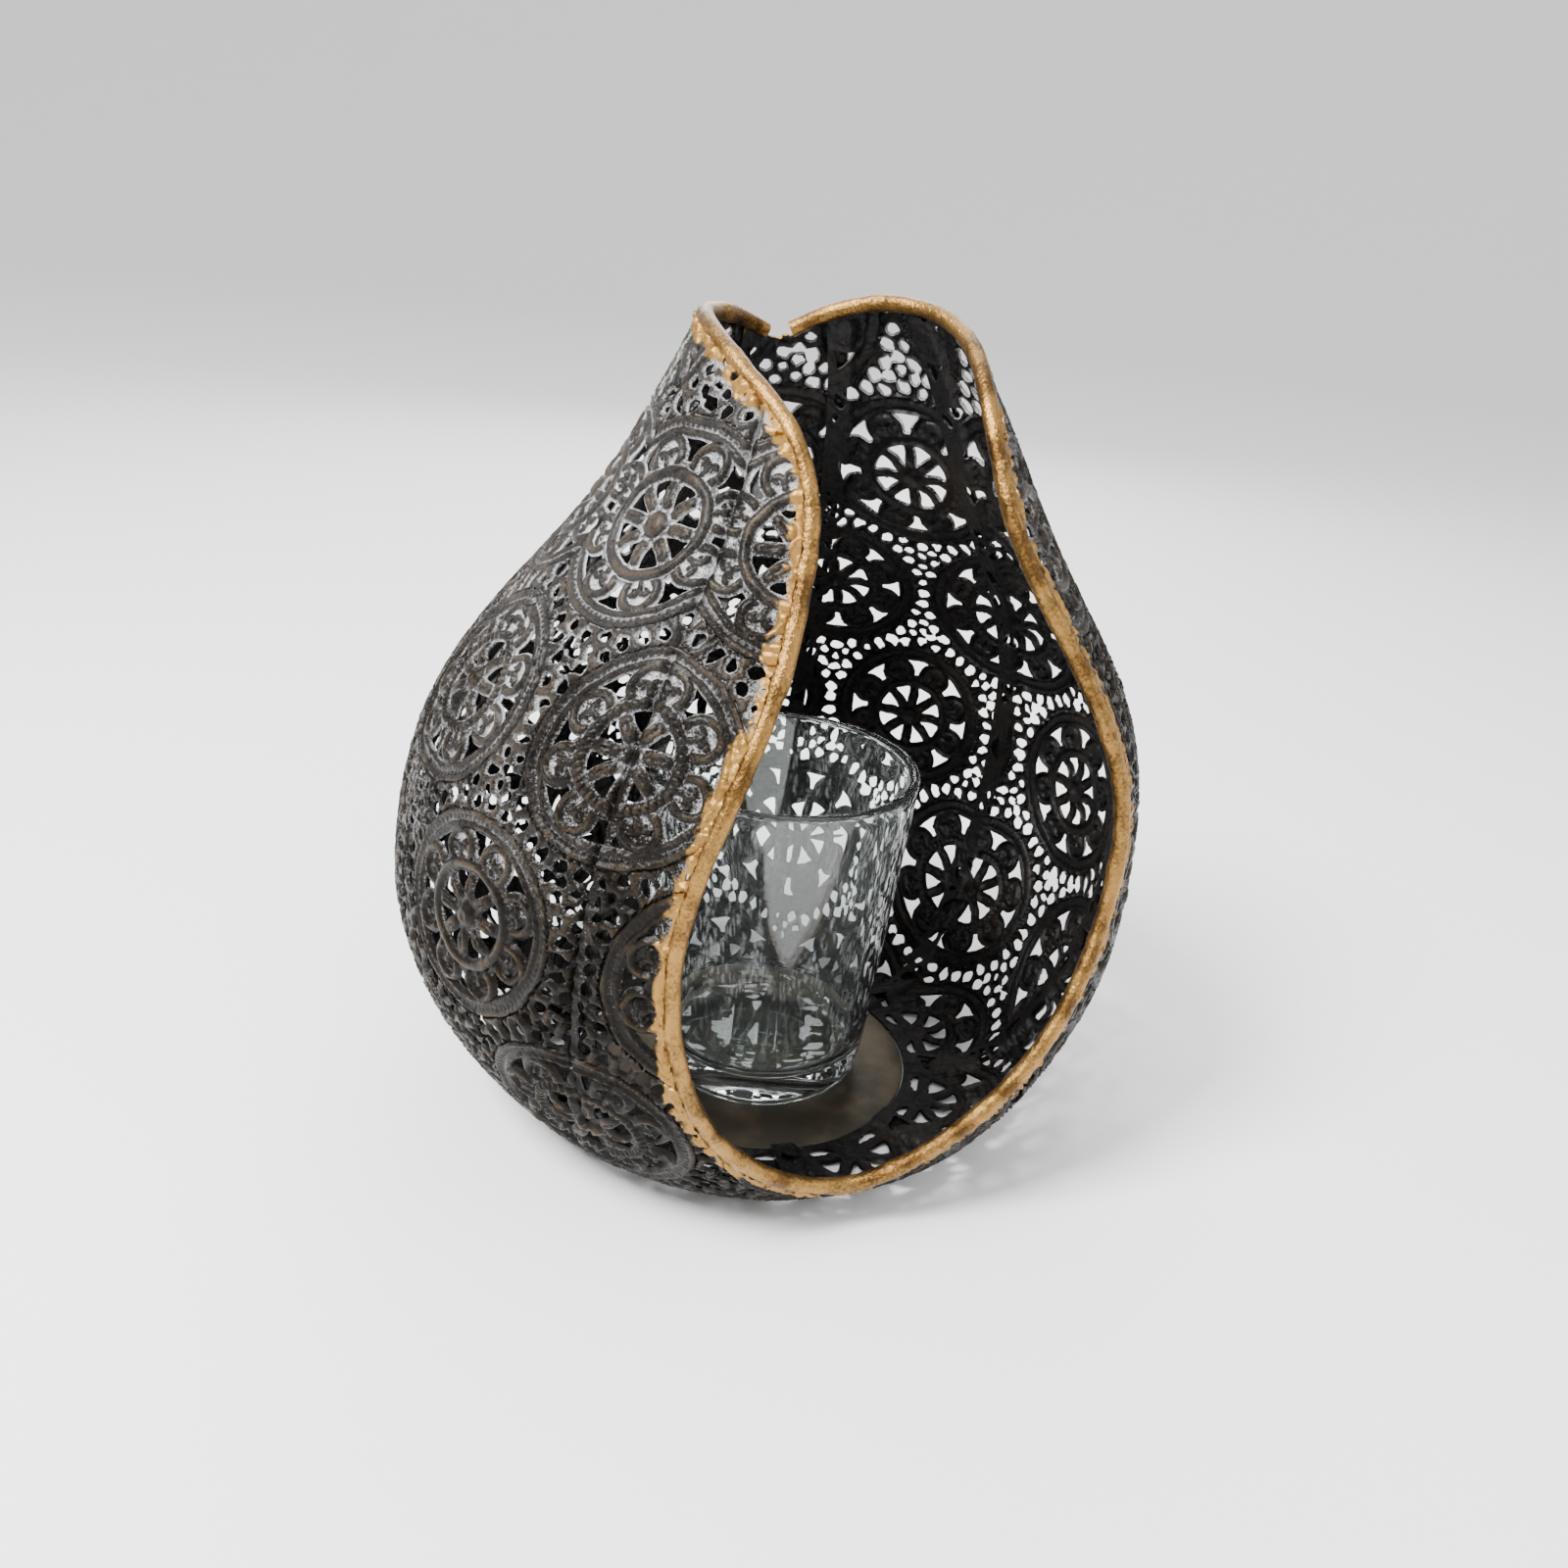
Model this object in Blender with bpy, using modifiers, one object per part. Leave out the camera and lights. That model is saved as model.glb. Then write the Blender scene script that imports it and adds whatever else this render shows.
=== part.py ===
"""Pear-shaped metal tealight lantern with a loose glass votive cup.

The shell is a nine-gore surface of revolution: each gore is a sheet panel whose edge is joggled under
the next one. A teardrop opening is left at the front and the top, edged with a round wire, and the
gores meet a flat base disc that the glass cup stands on.

Frame: origin at the centre of the base disc's underside, +Z up, the opening faces -Y. Sizes in mm.
"""

import math

import bmesh
import bpy
import numpy as np

MM = 0.001

# Fits
GAP = 0.3  # air between neighbouring pieces
RIM_GAP = 0.7  # air between the rim wire and the sheet's edge
LAP_GAP = 0.6  # air between the two sheets of a lap seam

# Base disc
DISC_RADIUS = 38.3
DISC_THICK = 0.8

# Shell
BODY_HEIGHT = 185.0  # up to the top of the tallest gore
BELLY_RADIUS = 85.0  # at the widest section
# Outline of the meridian, as (share of the height, share of the belly radius, how far the section is
# shifted forward, in mm). It starts at the edge of the base disc.
MERIDIAN = [
    (0.025, 0.681, 0.1),
    (0.070, 0.798, -2.4),
    (0.146, 0.915, -5.6),
    (0.254, 0.999, -7.0),
    (0.378, 0.998, -5.2),
    (0.514, 0.932, -0.9),
    (0.649, 0.762, 3.9),
    (0.784, 0.546, 7.2),
    (0.892, 0.412, 7.5),
    (1.000, 0.282, 4.6),
]
SHEET = 0.6  # sheet thickness

# Gores: the angle of each seam from the front, positive towards +X, and the lap that joins two gores
SEAMS = [-50.0, -13.0, 24.0, 61.0, 103.0, 147.0, 188.0, 230.0, 271.0]
LAP = 4.5  # overlap of two gores at a seam
JOGGLE = 2.0  # width over which a gore's edge steps inwards

# Opening: the rim's centre line as (angle from the front, share of the height), from the back dip over
# the +X hump, down to the front and up over the -X hump to the dip again
RIM = [
    (178.0, 0.946),
    (160.0, 0.973),
    (128.0, 0.995),
    (95.0, 0.992),
    (66.0, 0.970),
    (45.0, 0.935),
    (34.0, 0.886),
    (29.0, 0.822),
    (30.5, 0.735),
    (34.5, 0.627),
    (35.5, 0.497),
    (33.0, 0.405),
    (26.5, 0.303),
    (17.0, 0.184),
    (5.0, 0.103),
    (-8.0, 0.065),
    (-19.0, 0.086),
    (-29.0, 0.151),
    (-35.0, 0.265),
    (-37.5, 0.395),
    (-36.0, 0.519),
    (-32.5, 0.643),
    (-31.0, 0.762),
    (-33.0, 0.838),
    (-42.0, 0.892),
    (-62.0, 0.935),
    (-90.0, 0.966),
    (-125.0, 0.976),
    (-155.0, 0.970),
    (-182.0, 0.946),
]
WIRE = 3.8  # diameter of the rim wire
WIRE_BREAK = 6.5  # length left bare at the back dip
CORNER = 0.865  # share of the height where the rim turns from the sides of the opening to its top

# Glass votive cup
GLASS_TOP_RADIUS = 32.5
GLASS_FOOT_RADIUS = 26.3
GLASS_HEIGHT = 82.0
GLASS_WALL = 2.5
GLASS_FLOOR = 8.5
GLASS_HEEL = 5.5  # roundness of the outer foot edge

# Mesh density
GORE_ROWS = 24
BEND_REACH = 30.0  # extra length that a radian of bend counts for when rows are spread
GORE_COLUMNS = 6
WIRE_STEP = 4.0
CUP_SEGMENTS = 48


def natural_spline(at, values, where):
    """Values at `where` of the natural cubic spline through (at, values)."""
    at, values, where = (np.asarray(list(x), float) for x in (at, values, where))
    steps = np.diff(at)
    matrix, right = np.eye(len(at)), np.zeros(len(at))
    for i in range(1, len(at) - 1):
        matrix[i, i - 1 : i + 2] = steps[i - 1], 2 * (steps[i - 1] + steps[i]), steps[i]
        right[i] = 3 * ((values[i + 1] - values[i]) / steps[i] - (values[i] - values[i - 1]) / steps[i - 1])
    bend = np.linalg.solve(matrix, right)
    k = np.clip(np.searchsorted(at, where) - 1, 0, len(at) - 2)
    h, x = steps[k], where - at[k]
    slope = (values[k + 1] - values[k]) / h - h * (2 * bend[k] + bend[k + 1]) / 3
    return values[k] + slope * x + bend[k] * x**2 + (bend[k + 1] - bend[k]) / (3 * h) * x**3


class Shell:
    """The shell's surface. A point on it is (angle in degrees, distance along the meridian)."""

    def __init__(self):
        height, radius, shift = np.array(MERIDIAN).T
        height = np.concatenate([[DISC_THICK], height * BODY_HEIGHT])
        radius = np.concatenate([[DISC_RADIUS + GAP], radius * BELLY_RADIUS])
        shift = np.concatenate([[0.0], shift])
        knots = np.concatenate([[0], np.cumsum(np.hypot(np.diff(height), np.diff(radius)))])
        self.along = np.linspace(0, knots[-1], 600)
        self.height = natural_spline(knots, height, self.along)
        self.radius = natural_spline(knots, radius, self.along)
        self.shift = natural_spline(knots, shift, self.along)
        self.rise = np.gradient(self.height, self.along)
        self.spread = np.gradient(self.radius, self.along)

    def at_height(self, height):
        """Distance along the meridian of a height."""
        return np.interp(height, self.height, self.along)

    def degrees(self, arc, along):
        """The angle that an arc of this length covers."""
        return np.degrees(arc / np.interp(along, self.along, self.radius))

    def place(self, angle, along, inwards=0.0):
        """Points in space, moved `inwards` from the surface."""
        rise, spread, radius, height, shift = (
            np.interp(along, self.along, values)
            for values in (self.rise, self.spread, self.radius, self.height, self.shift)
        )
        turn = np.radians(angle)
        radius = radius - inwards * rise
        height = height + inwards * spread
        return np.stack([radius * np.sin(turn), -radius * np.cos(turn) - shift, height], axis=-1)


class Rim:
    """The edge line of the opening, and the sheet edge that follows it inside the wire."""

    def __init__(self, shell):
        angle, height = np.array(RIM).T
        along = shell.at_height(height * BODY_HEIGHT)
        arc = shell.degrees(1.0, along)
        chords = np.hypot(np.diff(angle) / (arc[1:] + arc[:-1]) * 2, np.diff(along))
        knots = np.concatenate([[0], np.cumsum(chords)])
        self.length = np.linspace(0, knots[-1], 1200)
        self.angle = natural_spline(knots, angle, self.length)
        self.along = natural_spline(knots, along, self.length)
        self.shell = shell
        across, up = np.gradient(self.angle) / shell.degrees(1.0, self.along), np.gradient(self.along)
        size = np.hypot(across, up)
        reach = WIRE / 2 + RIM_GAP
        edge_angle = self.angle - shell.degrees(reach * up / size, self.along)
        edge_along = self.along + reach * across / size
        self.edge = np.array([edge_angle, edge_along])
        self.corner = shell.at_height(CORNER * BODY_HEIGHT)

    def top(self, angle):
        """How far up the meridian the sheet ends at these angles: over the front, or behind the corners."""
        keep = (self.edge[1] > self.corner) | (np.abs(self.edge[0]) < 30)
        line = np.concatenate([self.edge[:, keep] + [[turn], [0]] for turn in (-360, 0, 360)], axis=1)
        line = line[:, np.argsort(line[0])]
        return np.interp(angle, *line)

    def side(self, seam):
        """The sheet's edge from where it crosses the seam, at the front, up to the corner on that side."""
        right = seam > 0
        beyond = self.edge[0] > seam if right else self.edge[0] < seam
        keep = beyond & (self.edge[1] < self.corner) & (np.abs(self.edge[0]) < 90)
        line = self.edge[:, keep].T
        return line[::-1] if right else line


def resample(line, shell, count):
    """`count` points along a line on the shell, closer together where it bends."""
    places = shell.place(line[:, 0], line[:, 1])
    steps = np.diff(places, axis=0)
    length = np.linalg.norm(steps, axis=1)
    heading = steps / np.maximum(length, 1e-9)[:, None]
    bend = np.zeros(len(length))
    bend[1:] = np.linalg.norm(np.diff(heading, axis=0), axis=1)
    knots = np.concatenate([[0], np.cumsum(length + BEND_REACH * bend)])
    at = np.linspace(0, knots[-1], count)
    return np.stack([np.interp(at, knots, line[:, 0]), np.interp(at, knots, line[:, 1])], axis=1)


def seam_line(shell, seam, over, end):
    """A line that runs `over` mm beyond a seam, from the base to `end` along the meridian."""
    along = np.linspace(0, end, 60)
    return np.stack([seam + shell.degrees(over, along), along], axis=1)


def gore_grid(shell, rim, index):
    """Rows of (angle, along, inwards) for one gore: a four-sided patch between its seams and the rim."""
    start, stop = SEAMS[index], SEAMS[(index + 1) % len(SEAMS)]
    if stop < start:
        stop += 360
    front = start < 0 < stop  # it runs under both its neighbours
    beside = [stop < 0 and rim.top(stop) < rim.corner, start > 0 and rim.top(start) < rim.corner]
    under = [LAP if front else 0.0, 0.0 if beside[0] else LAP]
    sides = []
    for seam, over, cut in ((start, -under[0], beside[1]), (stop, under[1], beside[0])):
        line = seam_line(shell, seam, over, rim.top(seam))
        if cut:
            line = np.concatenate([line[:-1], rim.side(seam)])
        else:
            end = rim.top(line[-1, 0])
            line = seam_line(shell, seam, over, end)
        sides.append(resample(line, shell, GORE_ROWS + 1))
    left, right = sides

    rows = []
    for row in range(GORE_ROWS + 1):
        t = row / GORE_ROWS
        (angle_a, along_a), (angle_b, along_b) = left[row], right[row]
        width = (angle_b - angle_a) / shell.degrees(1.0, (along_a + along_b) / 2)
        shares, steps = gore_columns(width, under)
        points = []
        for share, inwards in zip(shares, steps):
            angle = angle_a + (angle_b - angle_a) * share
            along = along_a + (along_b - along_a) * share
            top_angle = left[-1, 0] + (right[-1, 0] - left[-1, 0]) * share
            top_straight = left[-1, 1] + (right[-1, 1] - left[-1, 1]) * share
            points.append((angle, along + t * (rim.top(top_angle) - top_straight), inwards))
        rows.append(points)
    return np.array(rows)


def gore_columns(width, under):
    """Shares of a gore's width at its columns, and how far each column is stepped inwards."""
    drop = SHEET + LAP_GAP
    low = under[0] + GAP + JOGGLE if under[0] else 0.0
    high = width - (under[1] + GAP + JOGGLE if under[1] else 0.0)
    across = list(np.linspace(low, high, GORE_COLUMNS + 1))
    steps = [0.0] * len(across)
    if under[0]:
        across, steps = [0.0, under[0] + GAP, *across], [drop, drop, *steps]
    if under[1]:
        across, steps = [*across, width - under[1] - GAP, width], [*steps, drop, drop]
    return np.array(across) / width, steps


def new_object(name, data, collection, material):
    obj = bpy.data.objects.new(name, data)
    collection.objects.link(obj)
    data.materials.append(material)
    return obj


def new_material(name, color, roughness, metallic, alpha=1.0):
    material = bpy.data.materials.new(name)
    material.use_nodes = True
    shader = material.node_tree.nodes["Principled BSDF"]
    shader.inputs["Base Color"].default_value = (*color, 1.0)
    shader.inputs["Roughness"].default_value = roughness
    shader.inputs["Metallic"].default_value = metallic
    shader.inputs["Alpha"].default_value = alpha
    return material


def add_gore(name, shell, rim, index, collection, material):
    grid = gore_grid(shell, rim, index)
    rows, columns = grid.shape[:2]
    places = shell.place(grid[..., 0], grid[..., 1], grid[..., 2]) * MM
    mesh = bpy.data.meshes.new(name)
    sheet = bmesh.new()
    bmesh.ops.create_grid(sheet, x_segments=columns - 1, y_segments=rows - 1, size=0.5)
    for vert in sheet.verts:
        column = round((vert.co.x + 0.5) * (columns - 1))
        row = round((vert.co.y + 0.5) * (rows - 1))
        vert.co = places[row, column]
    sheet.to_mesh(mesh)
    sheet.free()
    gore = new_object(name, mesh, collection, material)
    skin = gore.modifiers.new("sheet", "SOLIDIFY")
    skin.thickness = SHEET * MM
    skin.offset = 0.0
    return gore


def add_rim_wire(shell, rim, collection, material):
    ends = WIRE_BREAK / 2
    count = round((rim.length[-1] - 2 * ends) / WIRE_STEP)
    at = np.linspace(rim.length[0] + ends, rim.length[-1] - ends, count + 1)
    angle, along = (np.interp(at, rim.length, values) for values in (rim.angle, rim.along))
    points = shell.place(angle, along) * MM
    curve = bpy.data.curves.new("rim_wire", "CURVE")
    curve.dimensions = "3D"
    curve.bevel_depth = WIRE / 2 * MM
    curve.bevel_resolution = 2
    curve.use_fill_caps = True
    line = curve.splines.new("POLY")
    line.points.add(len(points) - 1)
    for point, place in zip(line.points, points):
        point.co = (*place, 1.0)
    return new_object("rim_wire", curve, collection, material)


def add_base_disc(collection, material):
    mesh = bpy.data.meshes.new("base_disc")
    disc = bmesh.new()
    radius, depth = DISC_RADIUS * MM, DISC_THICK * MM
    bmesh.ops.create_cone(disc, cap_ends=True, segments=64, radius1=radius, radius2=radius, depth=depth)
    bmesh.ops.translate(disc, verts=disc.verts, vec=(0, 0, DISC_THICK / 2 * MM))
    disc.to_mesh(mesh)
    disc.free()
    return new_object("base_disc", mesh, collection, material)


def arc_points(centre, radius, start, stop, count):
    """Points on an arc in the profile plane, angles in degrees from +X."""
    turns = np.radians(np.linspace(start, stop, count))
    return [(centre[0] + radius * math.cos(turn), centre[1] + radius * math.sin(turn)) for turn in turns]


def add_votive_glass(collection, material):
    """The cup, from the middle of its floor, up the inside, over the lip and down the outside."""
    lean = (GLASS_TOP_RADIUS - GLASS_FOOT_RADIUS) / GLASS_HEIGHT
    lip = GLASS_WALL / 2
    inner = GLASS_FOOT_RADIUS + lean * GLASS_FLOOR - GLASS_WALL
    corner = 2.5 * GLASS_WALL
    profile = [(0.0, GLASS_FLOOR)]
    profile += arc_points((inner - corner, GLASS_FLOOR + corner), corner, -90, 0, 5)
    profile += arc_points((GLASS_TOP_RADIUS - lip, GLASS_HEIGHT - lip), lip, 180, 0, 7)
    profile += arc_points((GLASS_FOOT_RADIUS - GLASS_HEEL, GLASS_HEEL), GLASS_HEEL, 0, -90, 5)
    profile += [(0.0, 0.0)]
    mesh = bpy.data.meshes.new("votive_glass")
    turned = bmesh.new()
    verts = [turned.verts.new((x * MM, 0, z * MM)) for x, z in profile]
    for one, other in zip(verts, verts[1:]):
        turned.edges.new((one, other))
    turned.to_mesh(mesh)
    turned.free()
    glass = new_object("votive_glass", mesh, collection, material)
    glass.location.z = (DISC_THICK + GAP) * MM
    spin = glass.modifiers.new("turned", "SCREW")
    spin.steps = spin.render_steps = CUP_SEGMENTS
    spin.use_merge_vertices = True
    spin.merge_threshold = 1e-5
    spin.use_normal_calculate = True
    return glass


def main():
    for obj in list(bpy.data.objects):
        bpy.data.objects.remove(obj, do_unlink=True)
    lantern = bpy.data.collections.new("tealight_holder")
    bpy.context.scene.collection.children.link(lantern)

    antique = new_material("antique_metal", (0.075, 0.062, 0.052), 0.55, 0.6)
    gilt = new_material("gilt_wire", (0.62, 0.37, 0.10), 0.42, 0.8)
    base = new_material("base_metal", (0.045, 0.032, 0.024), 0.35, 0.6)
    glass = new_material("clear_glass", (0.86, 0.92, 0.90), 0.03, 0.0, alpha=0.35)

    shell = Shell()
    rim = Rim(shell)
    for index in range(len(SEAMS)):
        add_gore(f"gore_{index + 1}", shell, rim, index, lantern, antique)
    add_rim_wire(shell, rim, lantern, gilt)
    add_base_disc(lantern, base)
    add_votive_glass(lantern, glass)


main()
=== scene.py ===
"""Looks of the pear-shaped pierced lantern with its loose glass votive cup.

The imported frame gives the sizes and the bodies. Around it this file builds nine pierced and embossed
gores, a hand-brazed rim wire, the base disc, a clear glass cup and the studio that they stand in.
Lengths inside the builders are in millimetres and become metres when a mesh is finished.
"""

import logging
import math
from dataclasses import dataclass, field
from enum import Enum

import bmesh
import bpy
import numpy as np
from mathutils import Matrix, Vector


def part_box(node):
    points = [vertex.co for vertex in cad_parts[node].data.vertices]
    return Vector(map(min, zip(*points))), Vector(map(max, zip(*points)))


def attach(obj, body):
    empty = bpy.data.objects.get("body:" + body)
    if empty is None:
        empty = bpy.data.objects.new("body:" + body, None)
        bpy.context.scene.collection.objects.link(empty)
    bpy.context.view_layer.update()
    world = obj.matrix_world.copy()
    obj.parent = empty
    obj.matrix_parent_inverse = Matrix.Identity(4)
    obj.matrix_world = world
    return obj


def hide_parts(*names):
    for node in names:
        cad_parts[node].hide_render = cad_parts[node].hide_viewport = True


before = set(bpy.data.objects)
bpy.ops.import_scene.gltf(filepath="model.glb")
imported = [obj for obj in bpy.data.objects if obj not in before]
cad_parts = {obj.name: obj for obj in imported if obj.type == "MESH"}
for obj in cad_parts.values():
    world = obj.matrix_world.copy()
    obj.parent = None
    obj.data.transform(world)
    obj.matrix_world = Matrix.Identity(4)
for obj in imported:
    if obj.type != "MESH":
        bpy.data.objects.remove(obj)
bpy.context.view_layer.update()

log = logging.getLogger("lantern")

MM = 0.001
Socket = bpy.types.NodeSocket
Colour = tuple[float, float, float]


class Body(Enum):
    """The rigid bodies that a piece can ride on."""

    LANTERN = "lantern"
    CUP = "votive_glass"


class Slot(Enum):
    """The material slots that a piece can take its finish from."""

    ANTIQUE_METAL = "antique_metal"
    GILT_WIRE = "gilt_wire"
    BASE_METAL = "base_metal"
    CLEAR_GLASS = "clear_glass"


def tie(piece: bpy.types.Object, body: Body, node: str) -> None:
    """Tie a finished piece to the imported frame, and report it.

    Args:
        piece: The finished piece.
        body: The body that it rides on.
        node: The CAD node that it stands for.
    """
    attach(piece, body.value)
    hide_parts(node)
    piece.data.calc_loop_triangles()
    log.info("%s: %d triangles", piece.name, len(piece.data.loop_triangles))


# ---------------------------------------------------------------------------------------------------
# Node helpers
# ---------------------------------------------------------------------------------------------------


class Num:
    """A number that varies over a mesh or a surface, so that formulas can be written as arithmetic."""

    def __init__(self, tree: bpy.types.NodeTree, socket: Socket) -> None:
        """Wrap one float output.

        Args:
            tree: The tree that the socket is in.
            socket: The output that carries the number.
        """
        self.tree = tree
        self.socket = socket

    def op(self, operation: str, *others: "Num | float") -> "Num":
        """Add one Math node.

        Args:
            operation: Name of the Math node's operation.
            *others: Its second and third inputs.

        Returns:
            The node's result.
        """
        node = self.tree.nodes.new("ShaderNodeMath")
        node.operation = operation
        self.tree.links.new(self.socket, node.inputs[0])
        for slot, other in zip(node.inputs[1:], others):
            if isinstance(other, Num):
                self.tree.links.new(other.socket, slot)
            else:
                slot.default_value = float(other)
        return Num(self.tree, node.outputs[0])

    def __add__(self, other: "Num | float") -> "Num":
        """Return the sum."""
        return self.op("ADD", other)

    def __sub__(self, other: "Num | float") -> "Num":
        """Return the difference."""
        return self.op("SUBTRACT", other)

    def __mul__(self, other: "Num | float") -> "Num":
        """Return the product."""
        return self.op("MULTIPLY", other)

    def __truediv__(self, other: "Num | float") -> "Num":
        """Return the quotient."""
        return self.op("DIVIDE", other)

    def __neg__(self) -> "Num":
        """Return the negative."""
        return self.op("MULTIPLY", -1.0)

    def rsub(self, other: float) -> "Num":
        """Return `other` minus this number."""
        return self.op("MULTIPLY_ADD", -1.0, other)

    def sin(self) -> "Num":
        """Return the sine."""
        return self.op("SINE")

    def cos(self) -> "Num":
        """Return the cosine."""
        return self.op("COSINE")

    def abs(self) -> "Num":
        """Return the magnitude."""
        return self.op("ABSOLUTE")

    def sqrt(self) -> "Num":
        """Return the square root."""
        return self.op("SQRT")

    def power(self, exponent: float) -> "Num":
        """Return this number to a power."""
        return self.op("POWER", exponent)

    def least(self, other: "Num | float") -> "Num":
        """Return the smaller of two numbers."""
        return self.op("MINIMUM", other)

    def most(self, other: "Num | float") -> "Num":
        """Return the larger of two numbers."""
        return self.op("MAXIMUM", other)

    def soft_most(self, other: "Num | float", reach: float) -> "Num":
        """Return the larger of two numbers, rounded where they cross."""
        return self.op("SMOOTH_MAX", other, reach)

    def centred(self, period: "Num | float") -> "Num":
        """Wrap the number round.

        Args:
            period: Length of one period.

        Returns:
            The number moved by whole periods into plus or minus half a period.
        """
        if isinstance(period, Num):
            return self.op("WRAP", period * 0.5, period * -0.5)
        return self.op("WRAP", period / 2, -period / 2)

    def under(self, other: "Num | float") -> "Num":
        """Return 1 where this number is less than the other, else 0."""
        return self.op("LESS_THAN", other)

    def ramp(self, start: float, stop: float, low: float = 0.0, high: float = 1.0) -> "Num":
        """Return a smooth step.

        Args:
            start: Where the step begins.
            stop: Where it ends.
            low: Value before the step.
            high: Value after it.

        Returns:
            The stepped number.
        """
        node = self.tree.nodes.new("ShaderNodeMapRange")
        node.interpolation_type = "SMOOTHSTEP"
        self.tree.links.new(self.socket, node.inputs["Value"])
        for name, value in (("From Min", start), ("From Max", stop), ("To Min", low), ("To Max", high)):
            node.inputs[name].default_value = value
        return Num(self.tree, node.outputs["Result"])

    def ridge(self, half: "Num | float") -> "Num":
        """Return a rounded ridge of height 1 where this distance is 0, gone where it reaches `half`."""
        ratio = (self / half).abs().least(1.0)
        return (ratio * ratio).rsub(1.0)


def hypot(a: Num, b: Num) -> Num:
    """Return the length of a flat vector.

    Args:
        a: Its part across.
        b: Its part up.

    Returns:
        The length.
    """
    return (a * a + b * b).sqrt()


def pick(choice: Num, yes: Num, no: Num) -> Num:
    """Choose between two numbers.

    Args:
        choice: 1 or 0.
        yes: The number where the choice is 1.
        no: The number where it is 0.

    Returns:
        The chosen number.
    """
    return no + (yes - no) * choice


class NodeTree:
    """A Geometry Nodes tree built in code, with named inputs."""

    def __init__(self, name: str, makes_geometry: bool = True) -> None:
        """Start an empty tree.

        Args:
            name: The tree's name.
            makes_geometry: Whether it takes and gives geometry, as a modifier's tree does.
        """
        self.tree = bpy.data.node_groups.new(name, "GeometryNodeTree")
        self.source = self.tree.nodes.new("NodeGroupInput")
        self.sink = self.tree.nodes.new("NodeGroupOutput")
        if makes_geometry:
            self.tree.interface.new_socket("Geometry", in_out="INPUT", socket_type="NodeSocketGeometry")
            self.tree.interface.new_socket("Geometry", in_out="OUTPUT", socket_type="NodeSocketGeometry")

    def input(self, name: str, kind: str = "NodeSocketFloat", default: float | None = None) -> Socket:
        """Add a named input.

        Args:
            name: The input's name.
            kind: Its socket type.
            default: Its value where none is given.

        Returns:
            Its socket inside the tree.
        """
        item = self.tree.interface.new_socket(name, in_out="INPUT", socket_type=kind)
        if default is not None:
            item.default_value = default
        return self.source.outputs[name]

    def number(self, name: str, default: float = 0.0) -> Num:
        """Add a named float input and return it as a number."""
        return Num(self.tree, self.input(name, default=default))

    def output(self, name: str, value: "Num | Socket", kind: str = "NodeSocketFloat") -> None:
        """Add a named output and link a value to it."""
        self.tree.interface.new_socket(name, in_out="OUTPUT", socket_type=kind)
        self.tree.links.new(value.socket if isinstance(value, Num) else value, self.sink.inputs[name])

    def node(self, kind: str, links: dict | None = None, **settings: object) -> bpy.types.Node:
        """Add a node.

        Args:
            kind: The node's type name.
            links: Input name or index to a socket, a number or a plain value.
            **settings: Properties set on the node first.

        Returns:
            The new node.
        """
        node = self.tree.nodes.new(kind)
        for key, value in settings.items():
            setattr(node, key, value)
        for key, value in (links or {}).items():
            if isinstance(value, Num):
                value = value.socket
            if isinstance(value, bpy.types.NodeSocket):
                self.tree.links.new(value, node.inputs[key])
            else:
                node.inputs[key].default_value = value
        return node

    def split(self, vector: Socket) -> tuple[Num, Num, Num]:
        """Return a vector's three numbers."""
        node = self.node("ShaderNodeSeparateXYZ", {0: vector})
        return tuple(Num(self.tree, output) for output in node.outputs)

    def join(self, x: "Num | float", y: "Num | float", z: "Num | float") -> Socket:
        """Return a vector made of three numbers."""
        return self.node("ShaderNodeCombineXYZ", {0: x, 1: y, 2: z}).outputs[0]

    def position(self) -> Socket:
        """Return the position of each point."""
        return self.node("GeometryNodeInputPosition").outputs[0]

    def index(self) -> Num:
        """Return the index of each element."""
        return Num(self.tree, self.node("GeometryNodeInputIndex").outputs[0])

    def noise(self, at: Socket, scale: float, detail: float = 2.0) -> Num:
        """Return smooth noise.

        Args:
            at: Place that it is read at.
            scale: Its frequency.
            detail: Number of finer layers.

        Returns:
            A number from 0 to 1.
        """
        links = {"Vector": at, "Scale": scale, "Detail": detail}
        node = self.node("ShaderNodeTexNoise", links, noise_dimensions="3D")
        return Num(self.tree, node.outputs[0])

    def store(self, geometry: Socket, name: str, value: Num, domain: str = "POINT") -> Socket:
        """Add a named number to each element of a geometry.

        Args:
            geometry: The geometry.
            name: The attribute's name.
            value: The number.
            domain: Kind of element that carries it.

        Returns:
            The geometry with the attribute.
        """
        links = {"Geometry": geometry, "Name": name, "Value": value}
        node = self.node("GeometryNodeStoreNamedAttribute", links, data_type="FLOAT", domain=domain)
        return node.outputs[0]

    def read(self, name: str, kind: str = "FLOAT") -> Socket:
        """Return a named attribute."""
        return self.node("GeometryNodeInputNamedAttribute", {"Name": name}, data_type=kind).outputs[0]

    def finish(self, geometry: Socket, material: Socket) -> None:
        """Realise instances, set the material and link the tree's output.

        Args:
            geometry: What the tree has made.
            material: The finish that it gets.
        """
        real = self.node("GeometryNodeRealizeInstances", {0: geometry})
        dressed = self.node("GeometryNodeSetMaterial", {"Geometry": real.outputs[0], "Material": material})
        self.tree.links.new(dressed.outputs[0], self.sink.inputs["Geometry"])


def baked(holder: bpy.types.Object) -> bpy.types.Mesh:
    """Run an object's modifiers.

    Args:
        holder: The object.

    Returns:
        What its modifiers make of it, as a plain mesh.
    """
    return bpy.data.meshes.new_from_object(holder.evaluated_get(bpy.context.evaluated_depsgraph_get()))


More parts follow.
